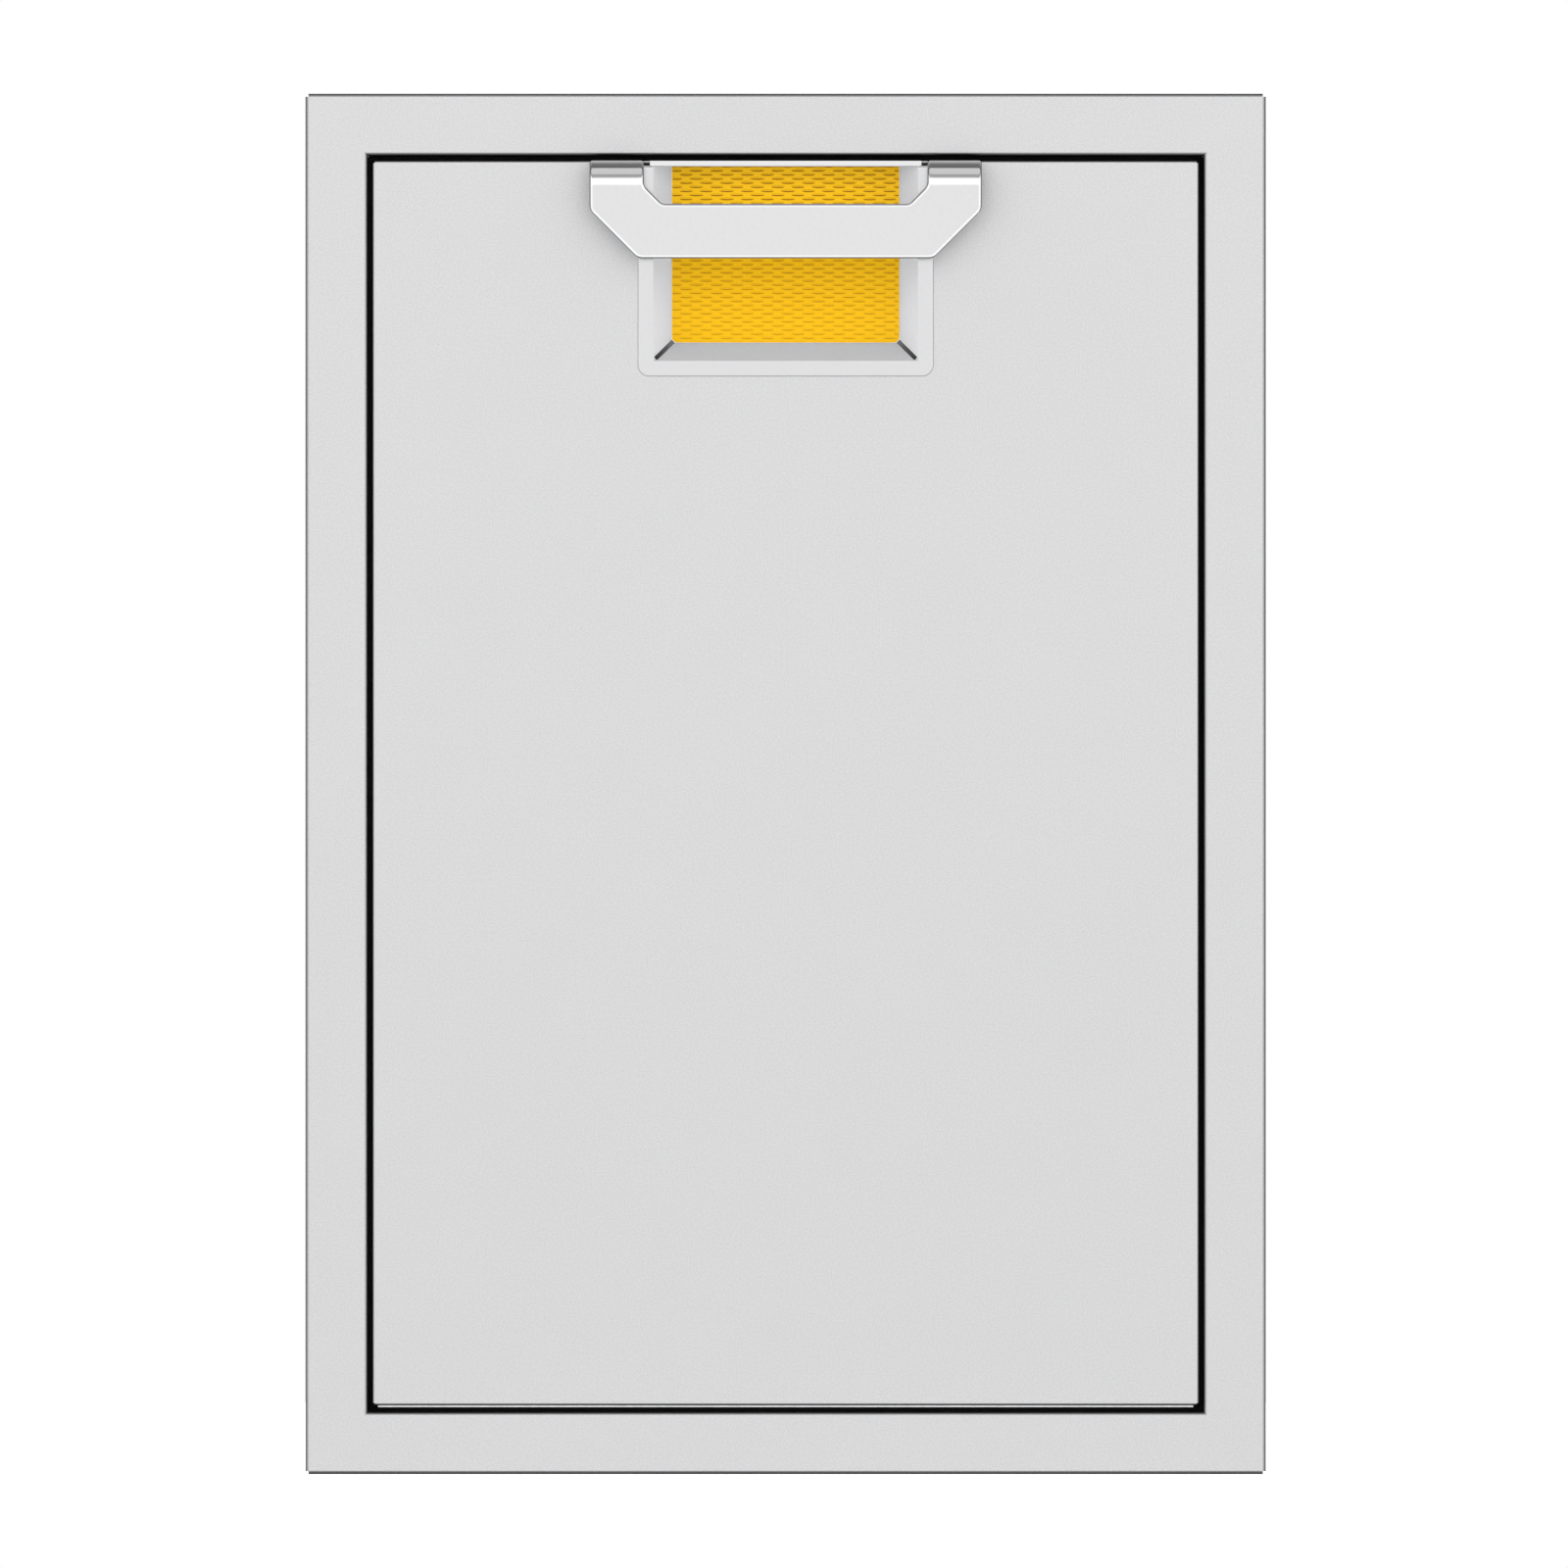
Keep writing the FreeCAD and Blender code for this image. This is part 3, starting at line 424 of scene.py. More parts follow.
def sheet_steel(
    name, level, contrast, roughness, stretch, fineness, cloudiness, marks, bumps=0.05, tones=None,
):
    """Steel sheet: grain stretched along an axis, a roughness range, a share of marks and painted light and
    shade by direction.
    """
    finish, tree, shader, place = new_finish(name, 1.0)
    along = add(tree, "ShaderNodeMapping", Vector=place, Scale=stretch)
    dark, light = tinted(level, contrast)
    smooth, rough = roughness
    grain = place_group(tree, sheet_grain, Vector=along.outputs["Vector"], Fineness=fineness,
                        Cloudiness=cloudiness, Dark=dark, Light=light, Smooth=smooth, Rough=rough)
    marked = place_group(tree, handling_marks, Vector=place, Size=MARK_SIZE, Roughness=grain["Roughness"],
                         Amount=marks)
    colour = painted_light_by_facing(tree, grain["Color"], tones) if tones else grain["Color"]
    tree.links.new(colour, shader.inputs["Base Color"])
    tree.links.new(marked["Roughness"], shader.inputs["Roughness"])
    bump(tree, shader, grain["Height"], bumps, GRAIN_DEPTH)
    return finish


def buff_front(finish, dull_metallic, buffed_share):
    """Buffs the faces that look straight ahead to a mirror, and leaves the leaning walls dull and pale."""
    tree = finish.node_tree
    shader = tree.nodes["Principled BSDF"]
    ahead = facing(tree, "Y")
    tree.links.new(span(tree, ahead, *STRAIGHT_AHEAD, dull_metallic, 1.0), shader.inputs["Metallic"])
    dull = shader.inputs["Roughness"].links[0].from_socket
    smoother = span(tree, ahead, *STRAIGHT_AHEAD, 1.0, buffed_share)
    tree.links.new(math_node(tree, "MULTIPLY", dull, smoother), shader.inputs["Roughness"])


def paint_front_light_and_shade(finish, above, level):
    """Paints one grey on the faces that look to the front above a height: painted light on one sheet,
    painted shade on another.
    """
    tree = finish.node_tree
    colour = tree.nodes["Principled BSDF"].inputs["Base Color"]
    place = add(tree, "ShaderNodeSeparateXYZ", Vector=coordinates(tree, "Object")).outputs
    high = span(tree, place["Z"], above, above + HEIGHT_EDGE)
    ahead = span(tree, facing(tree, "DEPTH"), *TURNED_AWAY, 1.0, 0.0)
    painted_share = math_node(tree, "MULTIPLY", high, ahead)
    tree.links.new(blend_colours(tree, painted_share, colour.links[0].from_socket, grey(level)), colour)


print("grain is", GRAIN_DEPTH / MM, "mm deep")

# %% Steel finishes
EVEN = (1, 1, 1)
UPRIGHT = (1, 1, 0.25)
LONG = (1, 0.04, 1)
ACROSS = (0.04, 1, 1)
# Painted shade on the satin sheet: folds, cut edges, returns and faces that look down are darkened.
PAINTED_SATIN_SHADE = {
    "Y": ((0.0, 0.40), (0.70, 0.28), (0.877, 0.54), (0.97, 0.82), (0.995, 1.0)),
    "HEIGHT": ((0.0, 0.16), (0.35, 0.50), (0.46, 1.0)),
}
# Painted light and shade in the recess: the leaning walls stay lighter than the flange, its rounded outline
# is darkened, and faces that look up are darkened.
PAINTED_RECESS_LIGHT_AND_SHADE = {
    "Y": ((0.0, 1.0), (0.52, 1.0), (0.58, 0.26), (0.93, 0.30), (0.985, 0.733)),
    "HEIGHT": ((0.55, 1.0), (0.85, 0.79)),
}
# Painted highlight and shade on the polished handle: edge rounds that look a little down are brightened, and
# faces that look down or sideways are darkened.
PAINTED_EDGE_HIGHLIGHT_AND_SHADE = {
    "X": ((0.45, 1.0), (0.68, 0.3)),
    "HEIGHT": ((0.0, 0.16), (0.18, 0.17), (0.27, 0.93), (0.42, 0.93), (0.47, 0.632)),
}
# Painted light: the recess's strip along the door's top gets a brighter grey than its flange.
STRIP_ABOVE = 691.6 * MM
STRIP_PAINTED_LIGHT = 0.62
# Painted shade: the door's inside, seen through the recess's mitres, gets a near-black grey.
INSIDE_ABOVE = 500 * MM
INSIDE_PAINTED_SHADE = 0.165
MILL = dict(contrast=0.06, fineness=500, cloudiness=0.15, marks=0.03)
SHEETS = {
    "satin_steel": dict(level=0.50, contrast=0.05, roughness=(0.40, 0.44), stretch=EVEN, fineness=1100,
                        cloudiness=0.06, marks=0.004, tones=PAINTED_SATIN_SHADE),
    "recess_steel": dict(level=0.764, contrast=0.02, roughness=(0.55, 0.62), stretch=EVEN, fineness=1100,
                         cloudiness=0.1, marks=0.01, tones=PAINTED_RECESS_LIGHT_AND_SHADE),
    "polished_steel": dict(level=0.95, contrast=0.01, roughness=(0.06, 0.09), stretch=EVEN, fineness=500,
                           cloudiness=0.1, marks=0.01, bumps=0.01, tones=PAINTED_EDGE_HIGHLIGHT_AND_SHADE),
    "liner_steel": dict(MILL, level=0.55, contrast=0.05, roughness=(0.32, 0.40), stretch=UPRIGHT,
                        cloudiness=0.2),
    "shell_steel": dict(MILL, level=0.55, roughness=(0.34, 0.43), stretch=LONG),
    "rear_steel": dict(MILL, level=0.55, roughness=(0.34, 0.43), stretch=ACROSS),
    "tray_steel": dict(MILL, level=0.57, roughness=(0.32, 0.41), stretch=LONG),
    "slide_zinc": dict(level=0.62, contrast=0.08, roughness=(0.22, 0.34), stretch=LONG, fineness=700,
                       cloudiness=0.25, marks=0.06),
    "cage_steel": dict(level=0.50, contrast=0.08, roughness=(0.22, 0.36), stretch=LONG, fineness=700,
                       cloudiness=0.35, marks=0.05),
    "ball_steel": dict(level=0.72, contrast=0.02, roughness=(0.06, 0.10), stretch=EVEN, fineness=900,
                       cloudiness=0.2, marks=0.02, bumps=0.01),
    "fastener_steel": dict(level=0.60, contrast=0.06, roughness=(0.20, 0.30), stretch=EVEN, fineness=1500,
                           cloudiness=0.2, marks=0.05),
}
finishes = {name: sheet_steel(name, **values) for name, values in SHEETS.items()}
buff_front(finishes["recess_steel"], dull_metallic=0.25, buffed_share=0.22)
paint_front_light_and_shade(finishes["recess_steel"], STRIP_ABOVE, STRIP_PAINTED_LIGHT)
paint_front_light_and_shade(finishes["liner_steel"], INSIDE_ABOVE, INSIDE_PAINTED_SHADE)
print("steel finishes:", ", ".join(finishes))

# %% [markdown]
# ## Paint, plastic and rubber
# The accent sheet is coated yellow, the bins are moulded in dark polypropylene and the seal and bumpers are
# black rubber. None of these is a metal. The yellow sheet carries two attributes: a painted shade along each
# embossed dash, fading down the sheet, with a painted shadow under the recess's roof, and a painted light
# that lifts the yellow near the sheet's top against the shade of that roof. Its bounced light is grey,
# because
# the pale walls beside it show no yellow. Plastic and rubber get a pebbled skin from a cell texture, like
# the etched face of a mould.

# %% Mould texture group
mould_skin, given, result = new_group(
    "mould_skin",
    [("Vector", VECTOR), ("Pebbles", NUMBER), ("Dark", COLOUR), ("Light", COLOUR)],
    [("Color", COLOUR), ("Height", NUMBER)],
)
place = given["Vector"]
pebbles = add(mould_skin, "ShaderNodeTexVoronoi", Vector=place, Scale=given["Pebbles"], Randomness=1.0)
clouds = add(mould_skin, "ShaderNodeTexNoise", Vector=place, Scale=14.0, Detail=3.0)
share = span(mould_skin, clouds.outputs["Fac"], *NOISE_RANGE)
mould_skin.links.new(blend_colours(mould_skin, share, given["Dark"], given["Light"]), result["Color"])
mould_skin.links.new(pebbles.outputs["Distance"], result["Height"])
print("group", mould_skin.name, "gives", [s.name for s in result if s.name])

# %% Paint, plastic and rubber
PEBBLE_DEPTH = 0.15 * MM
# Attributes of the accent sheet: painted shade along the dashes and under the roof, and painted light near
# the top.
PAINTED_SHADE = "painted_shade"
PAINTED_LIGHT_ATTRIBUTE = "clear"
YELLOW = (0.88, 0.49, 0.004, 1)
# The yellow under painted light, and the brown of painted shade.
YELLOW_PAINTED_LIGHT = (1.0, 0.565, 0.009, 1)
YELLOW_PAINTED_SHADE = (0.26, 0.075, 0.001, 1)
YELLOW_BOUNCE = 0.5
YELLOW_SPECULAR = 0.1


def moulded(name, dark, light, roughness, pebble_scale, strength):
    """Moulded plastic or rubber: two tones, a pebbled skin and a few handling marks."""
    finish, tree, shader, place = new_finish(name, 0.0)
    skin = place_group(tree, mould_skin, Vector=place, Pebbles=pebble_scale, Dark=dark, Light=light)
    marked = place_group(tree, handling_marks, Vector=place, Size=12.0, Roughness=roughness, Amount=0.05)
    tree.links.new(skin["Color"], shader.inputs["Base Color"])
    tree.links.new(marked["Roughness"], shader.inputs["Roughness"])
    bump(tree, shader, skin["Height"], strength, PEBBLE_DEPTH)
    return finish


def coated_yellow():
    """The accent sheet's coating: yellow, with painted light near the top and a brown painted shade along
    the embossed dashes.
    """
    finish, tree, shader, place = new_finish("accent_paint", 0.0)
    # The attribute read as depth holds the painted shade of the dashes, and clear holds the painted light.
    depth, clear = (tree.nodes.new("ShaderNodeAttribute") for _ in range(2))
    depth.attribute_name = PAINTED_SHADE
    clear.attribute_name = PAINTED_LIGHT_ATTRIBUTE
    marked = place_group(tree, handling_marks, Vector=place, Size=40.0, Roughness=0.42, Amount=0.1)
    yellow_with_painted_light = blend_colours(tree, clear.outputs["Fac"], YELLOW, YELLOW_PAINTED_LIGHT)
    shade = blend_colours(tree, depth.outputs["Fac"], yellow_with_painted_light, YELLOW_PAINTED_SHADE)
    path = tree.nodes.new("ShaderNodeLightPath")
    colour = blend_colours(tree, path.outputs["Is Camera Ray"], grey(YELLOW_BOUNCE), shade)
    tree.links.new(colour, shader.inputs["Base Color"])
    tree.links.new(marked["Roughness"], shader.inputs["Roughness"])
    shader.inputs["Specular IOR Level"].default_value = YELLOW_SPECULAR
    return finish


finishes["accent_paint"] = coated_yellow()
finishes["bin_plastic"] = moulded(
    "bin_plastic", dark=(0.048, 0.050, 0.053, 1), light=(0.056, 0.058, 0.062, 1),
    roughness=0.44, pebble_scale=1400, strength=0.25,
)
finishes["bumper_rubber"] = moulded(
    "bumper_rubber", dark=grey(0.003), light=grey(0.006), roughness=0.7, pebble_scale=1800, strength=0.2,
)
print("other finishes:", ", ".join(name for name in finishes if name not in SHEETS))

# %% [markdown]
# ## Finishes on the solids
# The record names a finish for every solid piece, so one loop dresses them all. Two panels at the rear have
# their grain across the cabinet and take the turned finish.

# %% Dress the solids
GRAIN_ACROSS = ("back_panel", "rear_tie")
for piece in frame["record"]["subparts"]:
    slot = "rear_steel" if piece["node"] in GRAIN_ACROSS else piece["material_slot"]
    solid = frame["nodes"][piece["node"]]
    solid.data.materials.clear()
    solid.data.materials.append(finishes[slot])
print(len(finishes), "finishes on", len(frame["nodes"]), "nodes")

# %% [markdown]
# ## The embossed accent sheet
# The yellow sheet at the back of the recess is pressed with rows of short lens-shaped dashes, each row moved
# half a step against the next, like the bricks of a wall. A bump map would look flat from the side, so the
# sheet is a real height field: for each point of a grid, the row and the place along the row give how far
# the press pushed it. The lower edge of each dash drops steeply, and a dark line of painted shade lies along
# that drop, with a fainter one closing the lens above. Both of the paint's attributes, the painted shade and
# the painted light, are worked out with the grid and stored at its points.

# %% Embossing
ROW_PITCH = 2.16 * MM
FIRST_ROW = 0.9 * MM
DASH_PERIOD = 10.78 * MM
DASH_LENGTH = 6.9 * MM
DASH_SHIFT = 1.2 * MM
RISE_FROM, RISE_SHARE = 0.12, 0.5
DROP_FROM, DROP_SHARE = 0.72, 0.14
# Where each dash's lines of painted shade lie, how they curl and how dark they are.
LOWER_AT, LOWER_CURL, LOWER_SHADE = 0.74, 0.10, 1.35
LOWER_WIDTH, LOWER_SWELL = 0.08, 0.05
UPPER_AT, UPPER_CURL, UPPER_SHADE = 0.30, 0.12, 0.32
UPPER_WIDTH = 0.09


def smooth_step(share):
    """Three times the square less twice the cube, with the share held between 0 and 1."""
    share = np.clip(share, 0, 1)
    return share * share * (3 - 2 * share)


def emboss(x, down):
    """How far a point is pushed, from 0 to 1, and how much painted shade it gets.

    The row is the whole number of pitches below the first row, and odd rows move by half a period. Along a
    dash the push follows the square root of one minus the distance squared, a lens. Down a row it rises
    slowly and drops fast. Painted shade lies on a thin bell curve at that drop, and its ends curl up by the
    distance squared. A fainter painted shade, with its ends curling down, closes the lens above.
    """
    row = np.floor((down - FIRST_ROW) / ROW_PITCH)
    within = (down - FIRST_ROW) / ROW_PITCH - row
    along = ((x - DASH_SHIFT) / DASH_PERIOD + 0.5 * (row % 2)) % 1 - 0.5
    reach = 2 * along * DASH_PERIOD / DASH_LENGTH
    lens = np.sqrt(np.clip(1 - reach ** 2, 0, 1))
    rise = smooth_step((within - RISE_FROM) / RISE_SHARE)
    drop = smooth_step((within - DROP_FROM) / DROP_SHARE)
    push = lens * rise * (1 - drop)
    lower_width = LOWER_WIDTH + LOWER_SWELL * lens
    lower = np.exp(-((within - LOWER_AT + LOWER_CURL * reach ** 2) / lower_width) ** 2)
    upper = np.exp(-((within - UPPER_AT - UPPER_CURL * reach ** 2) / UPPER_WIDTH) ** 2)
    line = np.sqrt(lens) * (LOWER_SHADE * lower + UPPER_SHADE * upper)
    return push, line


print("dashes every", DASH_PERIOD / MM, "mm in rows", ROW_PITCH / MM, "mm apart")

# %% Embossed sheet
EMBOSS_DEPTH = 0.42 * MM
EMBOSS_MARGIN = 0.6 * MM
SHEET_CORNER = 3.0 * MM
SHEET_COLUMNS = 150
SHEET_ROWS = 640
# The embossing and its painted shade both fade by this share down the sheet.
FADE_DOWN = 0.58
# A painted shadow along the sheet's top under the roof, and painted light from the top down to where it is
# gone.
ROOF_PAINTED_SHADOW = 0.75
ROOF_PAINTED_SHADOW_WIDTH = 0.45 * MM
PAINTED_LIGHT_FULL_TO = 18 * MM
PAINTED_LIGHT_GONE_AT = 40 * MM


def column_quads(a, b):
    """Quads between two columns of point numbers."""
    return np.stack([a[:-1], a[1:], b[1:], b[:-1]], axis=-1).reshape(-1, 4).tolist()


def embossed_sheet(low, high):
    """The sheet as one closed shell: an embossed front grid, side strips, a flat back and end caps.

    Columns run from edge to edge, and near the bottom the edges follow the quarter circle of the lower
    corners. The embossing and its painted shade fade down the sheet, a bell curve paints a shadow along the
    edge under the roof, and painted light lifts the yellow near the top.
    """
    z = np.linspace(high.z, low.z, SHEET_ROWS)[:, None]
    into_corner = np.clip(SHEET_CORNER - (z - low.z), 0, SHEET_CORNER)
    half = (high.x - low.x) / 2 - (SHEET_CORNER - np.sqrt(SHEET_CORNER ** 2 - into_corner ** 2))
    x = half * np.linspace(-1, 1, SHEET_COLUMNS)[None, :]
    down = high.z - z + 0 * x
    push, line = emboss(x, down)
    to_edge = np.minimum(np.minimum(half - np.abs(x), down), z - low.z)
    fade = np.clip(to_edge / EMBOSS_MARGIN, 0, 1) * (1 - FADE_DOWN * down / (high.z - low.z))
    front = np.stack([x, low.y + EMBOSS_DEPTH * (1 - push * fade), z + 0 * x], axis=-1)
    edges = front[:, [0, -1]].copy()
    edges[..., 1] = high.y
    points = np.concatenate([front.reshape(-1, 3), edges.reshape(-1, 3)])
    number = np.arange(front.shape[0] * front.shape[1]).reshape(front.shape[:2])
    behind = number.size + np.arange(edges.shape[0] * 2).reshape(-1, 2)
    quads = np.stack([number[:-1, :-1], number[1:, :-1], number[1:, 1:], number[:-1, 1:]], axis=-1)
    faces = quads.reshape(-1, 4).tolist()
    faces += column_quads(number[:, -1], behind[:, 1])
    faces += column_quads(behind[:, 1], behind[:, 0])
    faces += column_quads(behind[:, 0], number[:, 0])
    faces.append(number[0].tolist() + behind[0, ::-1].tolist())
    faces.append(number[-1, ::-1].tolist() + behind[-1].tolist())
    # Painted shadow under the roof, and painted light near the top.
    roof_painted_shadow = ROOF_PAINTED_SHADOW * np.exp(-(down / ROOF_PAINTED_SHADOW_WIDTH) ** 2)
    clear = np.clip((PAINTED_LIGHT_GONE_AT - down) / (PAINTED_LIGHT_GONE_AT - PAINTED_LIGHT_FULL_TO), 0, 1)
    back_points = np.zeros(edges.shape[0] * 2)
    shades = {
        PAINTED_SHADE: np.concatenate([np.clip(np.maximum(line * fade, roof_painted_shadow), 0, 1).ravel(), back_points]),
        PAINTED_LIGHT_ATTRIBUTE: np.concatenate([clear.ravel(), back_points]),
    }
    return points, faces, shades


print("a grid of", SHEET_ROWS, "rows and", SHEET_COLUMNS, "columns")

# %% Accent in its place
SHEET_CREASE = 40


def dress(made, finish, crease):
    """Gives a piece its finish, and smooth shading that breaks at edges sharper than an angle in degrees."""
    mesh = made.data
    mesh.polygons.foreach_set("use_smooth", np.ones(len(mesh.polygons), dtype=bool))
    mesh.set_sharp_from_angle(angle=math.radians(crease))
    mesh.update()
    mesh.materials.append(finishes[finish])


points, faces, shades = embossed_sheet(*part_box("accent_panel"))
accent = mesh_object("embossed_accent_sheet", points, faces)
for name, values in shades.items():
    shade = accent.data.attributes.new(name, "FLOAT", "POINT")
    shade.data.foreach_set("value", values.astype(np.float32))
dress(accent, "accent_paint", SHEET_CREASE)
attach(accent, "drawer")
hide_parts("accent_panel")
print("embossed sheet:", len(faces), "faces")

# %% [markdown]
# ## The bins
# Each bin is one moulding: a tapered tub with rounded corners, a foot ring below and a rim that turns down
# into a grip. Extruding a box would give sharp corners, so the tub is a profile carried round a rounded
# rectangle. The profile lists, from the foot to the floor inside, how far each line of the wall stands in
# from the rim and how high it lies. For each of these lines one loop is worked out, and neighbouring loops
# are joined by quads.

# %% Loops and shells
CORNER_STEPS = 10
CM3 = 1e-6


def rounded_loop(half_a, half_b, radius):
    """Rounded rectangles as an array of lines by points: four arcs, centred a radius in from both sides.

    half_a, half_b and radius hold one value for each line. A point is its corner's centre plus radius times
    cosine and sine of an angle that runs through a quarter turn.
    """
    quarter = np.linspace(0, np.pi / 2, CORNER_STEPS)
    angle = (quarter[None, :] + np.pi / 2 * np.arange(4)[:, None]).ravel()
    sign_a = np.repeat([1, -1, -1, 1], CORNER_STEPS)
    sign_b = np.repeat([1, 1, -1, -1], CORNER_STEPS)
    a = sign_a * (half_a - radius)[:, None] + radius[:, None] * np.cos(angle)
    b = sign_b * (half_b - radius)[:, None] + radius[:, None] * np.sin(angle)
    return a, b


def ring_quads(lines, points, closed):
    """Quads between neighbouring loops, also from the last loop to the first where closed."""
    number = np.arange(lines * points).reshape(lines, points)
    following = np.roll(number, -1, axis=0)
    here, there = (number, following) if closed else (number[:-1], following[:-1])
    quads = np.stack([here, np.roll(here, -1, axis=1), np.roll(there, -1, axis=1), there], axis=-1)
    return quads.reshape(-1, 4).tolist()


def capped_shell(loops):
    """Points and faces of a closed shell: quads between loops and a flat cap on the first and last loop."""
    lines, points = loops.shape[:2]
    first = list(range(points))[::-1]
    last = list(range((lines - 1) * points, lines * points))
    return loops, ring_quads(lines, points, False) + [first, last]


def mesh_points(mesh):
    """The vertices of a mesh as an array of points."""
    places = np.zeros(len(mesh.vertices) * 3)
    mesh.vertices.foreach_get("co", places)
    return places.reshape(-1, 3)


def volume(made):
    """The volume inside a closed mesh in cubic centimetres, negative if its faces point inwards.

    Each triangle and the origin span a tetrahedron of a sixth of its corners' triple product.
    """
    mesh = made.data
    mesh.calc_loop_triangles()
    corners = np.zeros(len(mesh.loop_triangles) * 3, dtype=np.int32)
    mesh.loop_triangles.foreach_get("vertices", corners)
    a, b, c = mesh_points(mesh)[corners.reshape(-1, 3)].transpose(1, 0, 2)
    return float(np.einsum("ij,ij->i", a, np.cross(b, c)).sum() / 6 / CM3)


print("a loop has", 4 * CORNER_STEPS, "points")

# %% Bin profile
BIN_WALL = 2.6 * MM
BIN_RIM = 8.0 * MM
BIN_TAPER = 17.0 * MM
BIN_SKIRT = 14.0 * MM
BIN_FOOT = 4.0 * MM
BIN_BASE = 3.0 * MM
BIN_FOOT_WIDTH = 9.0 * MM
BIN_ROUNDING = 1.2 * MM
BIN_FLOOR_ROUNDING = 7.0 * MM
BIN_BEAD = 0.7 * MM
BIN_BEADS = 3
BIN_BEAD_PITCH = 9.0 * MM
BIN_BEAD_TOP = 40.0 * MM
BEAD_POINTS = 25
ARC_STEPS = 5


def arc(centre, radius, start, end):
    """Points of an arc as (inset, height) pairs, from one angle to another in degrees."""
    angle = np.radians(np.linspace(start, end, ARC_STEPS))
    return np.stack([centre[0] + radius * np.cos(angle), centre[1] + radius * np.sin(angle)], axis=1)


def bin_profile(height):
    """The wall's section as (inset, height) pairs, from the middle of the underside to the floor inside.

    The outer wall leans in by the taper over the height, and the beads under the rim stand out by a cosine.
    Inset grows towards the middle of the bin, so an arc's cosine points inwards.
    """
    r = BIN_ROUNDING
    foot_out = BIN_RIM + BIN_TAPER
    foot_in = foot_out + BIN_FOOT_WIDTH

    def lean(z):
        """The outer wall's inset at a height."""
        return BIN_RIM + BIN_TAPER * (1 - z / height)

    bead_top = height - BIN_BEAD_TOP
    bead_z = np.linspace(bead_top - BIN_BEADS * BIN_BEAD_PITCH, bead_top, BEAD_POINTS)
    wave = (1 - np.cos(2 * np.pi * (bead_z - bead_z[0]) / BIN_BEAD_PITCH)) / 2
    beads = np.stack([lean(bead_z) - BIN_BEAD * wave, bead_z], axis=1)
    under = height - BIN_WALL
    inner = lean(height) + BIN_WALL
    floor_height = BIN_FOOT + BIN_BASE
    floor_in = lean(floor_height) + BIN_WALL
    fillet = BIN_FLOOR_ROUNDING
    return np.concatenate([
        [(foot_in, BIN_FOOT), (foot_in, r)],
        arc((foot_in - r, r), r, 0, -90),
        arc((foot_out + r, r), r, 270, 180),
        beads,
        [(lean(under), under), (BIN_WALL, under), (BIN_WALL, height - BIN_SKIRT + r)],
        arc((BIN_WALL / 2, height - BIN_SKIRT + r), BIN_WALL / 2, 0, -180),
        arc((2 * r, height - 2 * r), 2 * r, 180, 90),
        arc((inner - 2 * r, height - 2 * r), 2 * r, 90, 0),
        arc((floor_in + fillet, floor_height + fillet), fillet, 180, 270),
    ])


print("a bin wall of", BIN_WALL / MM, "mm leans in by", BIN_TAPER / MM, "mm")

# %% Bins
BIN_CORNER = 46.0 * MM
BIN_CREASE = 35


def moulded_bin(node):
    """A bin in place of its solid: the profile's insets taken off a rounded rectangle of the rim's size."""
    low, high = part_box(node)
    profile = bin_profile(high.z - low.z)
    inset = profile[:, 0]
    a, b = rounded_loop((high.x - low.x) / 2 - inset, (high.y - low.y) / 2 - inset, BIN_CORNER - inset)
    z = np.broadcast_to(low.z + profile[:, 1, None], a.shape)
    loops = np.stack([a, (low.y + high.y) / 2 + b, z], axis=-1)
    made = mesh_object("moulded_" + node, *capped_shell(loops))
    dress(made, "bin_plastic", BIN_CREASE)
    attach(made, node)
    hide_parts(node)
    print(made.name, "holds its wall in", round(volume(made), 1), "cm3 of plastic")


for node in ("front_bin", "rear_bin"):
    moulded_bin(node)

# %% [markdown]
# ## The door seal
# The black line round the door is the gap's shade, deepened by a near-black rubber seal on the door's back,
# deep in the gap: a dark part set where there is shade. Real seals are extruded, one section with a lip
# pushed out of a die for metres, then bent round the corners. The same idea makes it here: a section of
# (inset, depth) pairs goes round a rounded rectangle, and the last loop joins the first.

# %% Seal
SEAL_WIDTH = 9.0 * MM
SEAL_REACH = 0.42 * MM
SEAL_CORNER = 0.6 * MM
SEAL_INNER_CORNER = 0.5 * MM
SEAL_FOOT = (0.02, 0.98)
SEAL_EDGE_DEPTHS = (0.1, 0.2)
SEAL_BACK_FROM, SEAL_BACK_SPAN = 0.94, 0.88
SEAL_SHOULDER, SEAL_FULLNESS = 0.35, 0.8
SEAL_BACK_STEPS = 9
SEAL_CREASE = 50


def seal_section(depth):
    """The section as (inset, depth) pairs: a flat foot on the door, a round back and a thin lip at the edge.

    The back is half an oval: its inset follows a cosine, and its depth a power of the sine.
    """
    turn = np.linspace(0, np.pi, SEAL_BACK_STEPS)
    back_inset = SEAL_WIDTH * (SEAL_BACK_FROM - SEAL_BACK_SPAN * (1 - np.cos(turn)) / 2)
    back_depth = depth * (SEAL_SHOULDER + (1 - SEAL_SHOULDER) * np.sin(turn) ** SEAL_FULLNESS)
    lip_depth, heel_depth = (share * depth for share in SEAL_EDGE_DEPTHS)
    foot_start, foot_end = (share * SEAL_WIDTH for share in SEAL_FOOT)
    foot = [(-SEAL_REACH, lip_depth), (foot_start, 0.0), (foot_end, 0.0), (SEAL_WIDTH, heel_depth)]
    return np.concatenate([foot, np.stack([back_inset, back_depth], axis=1)])


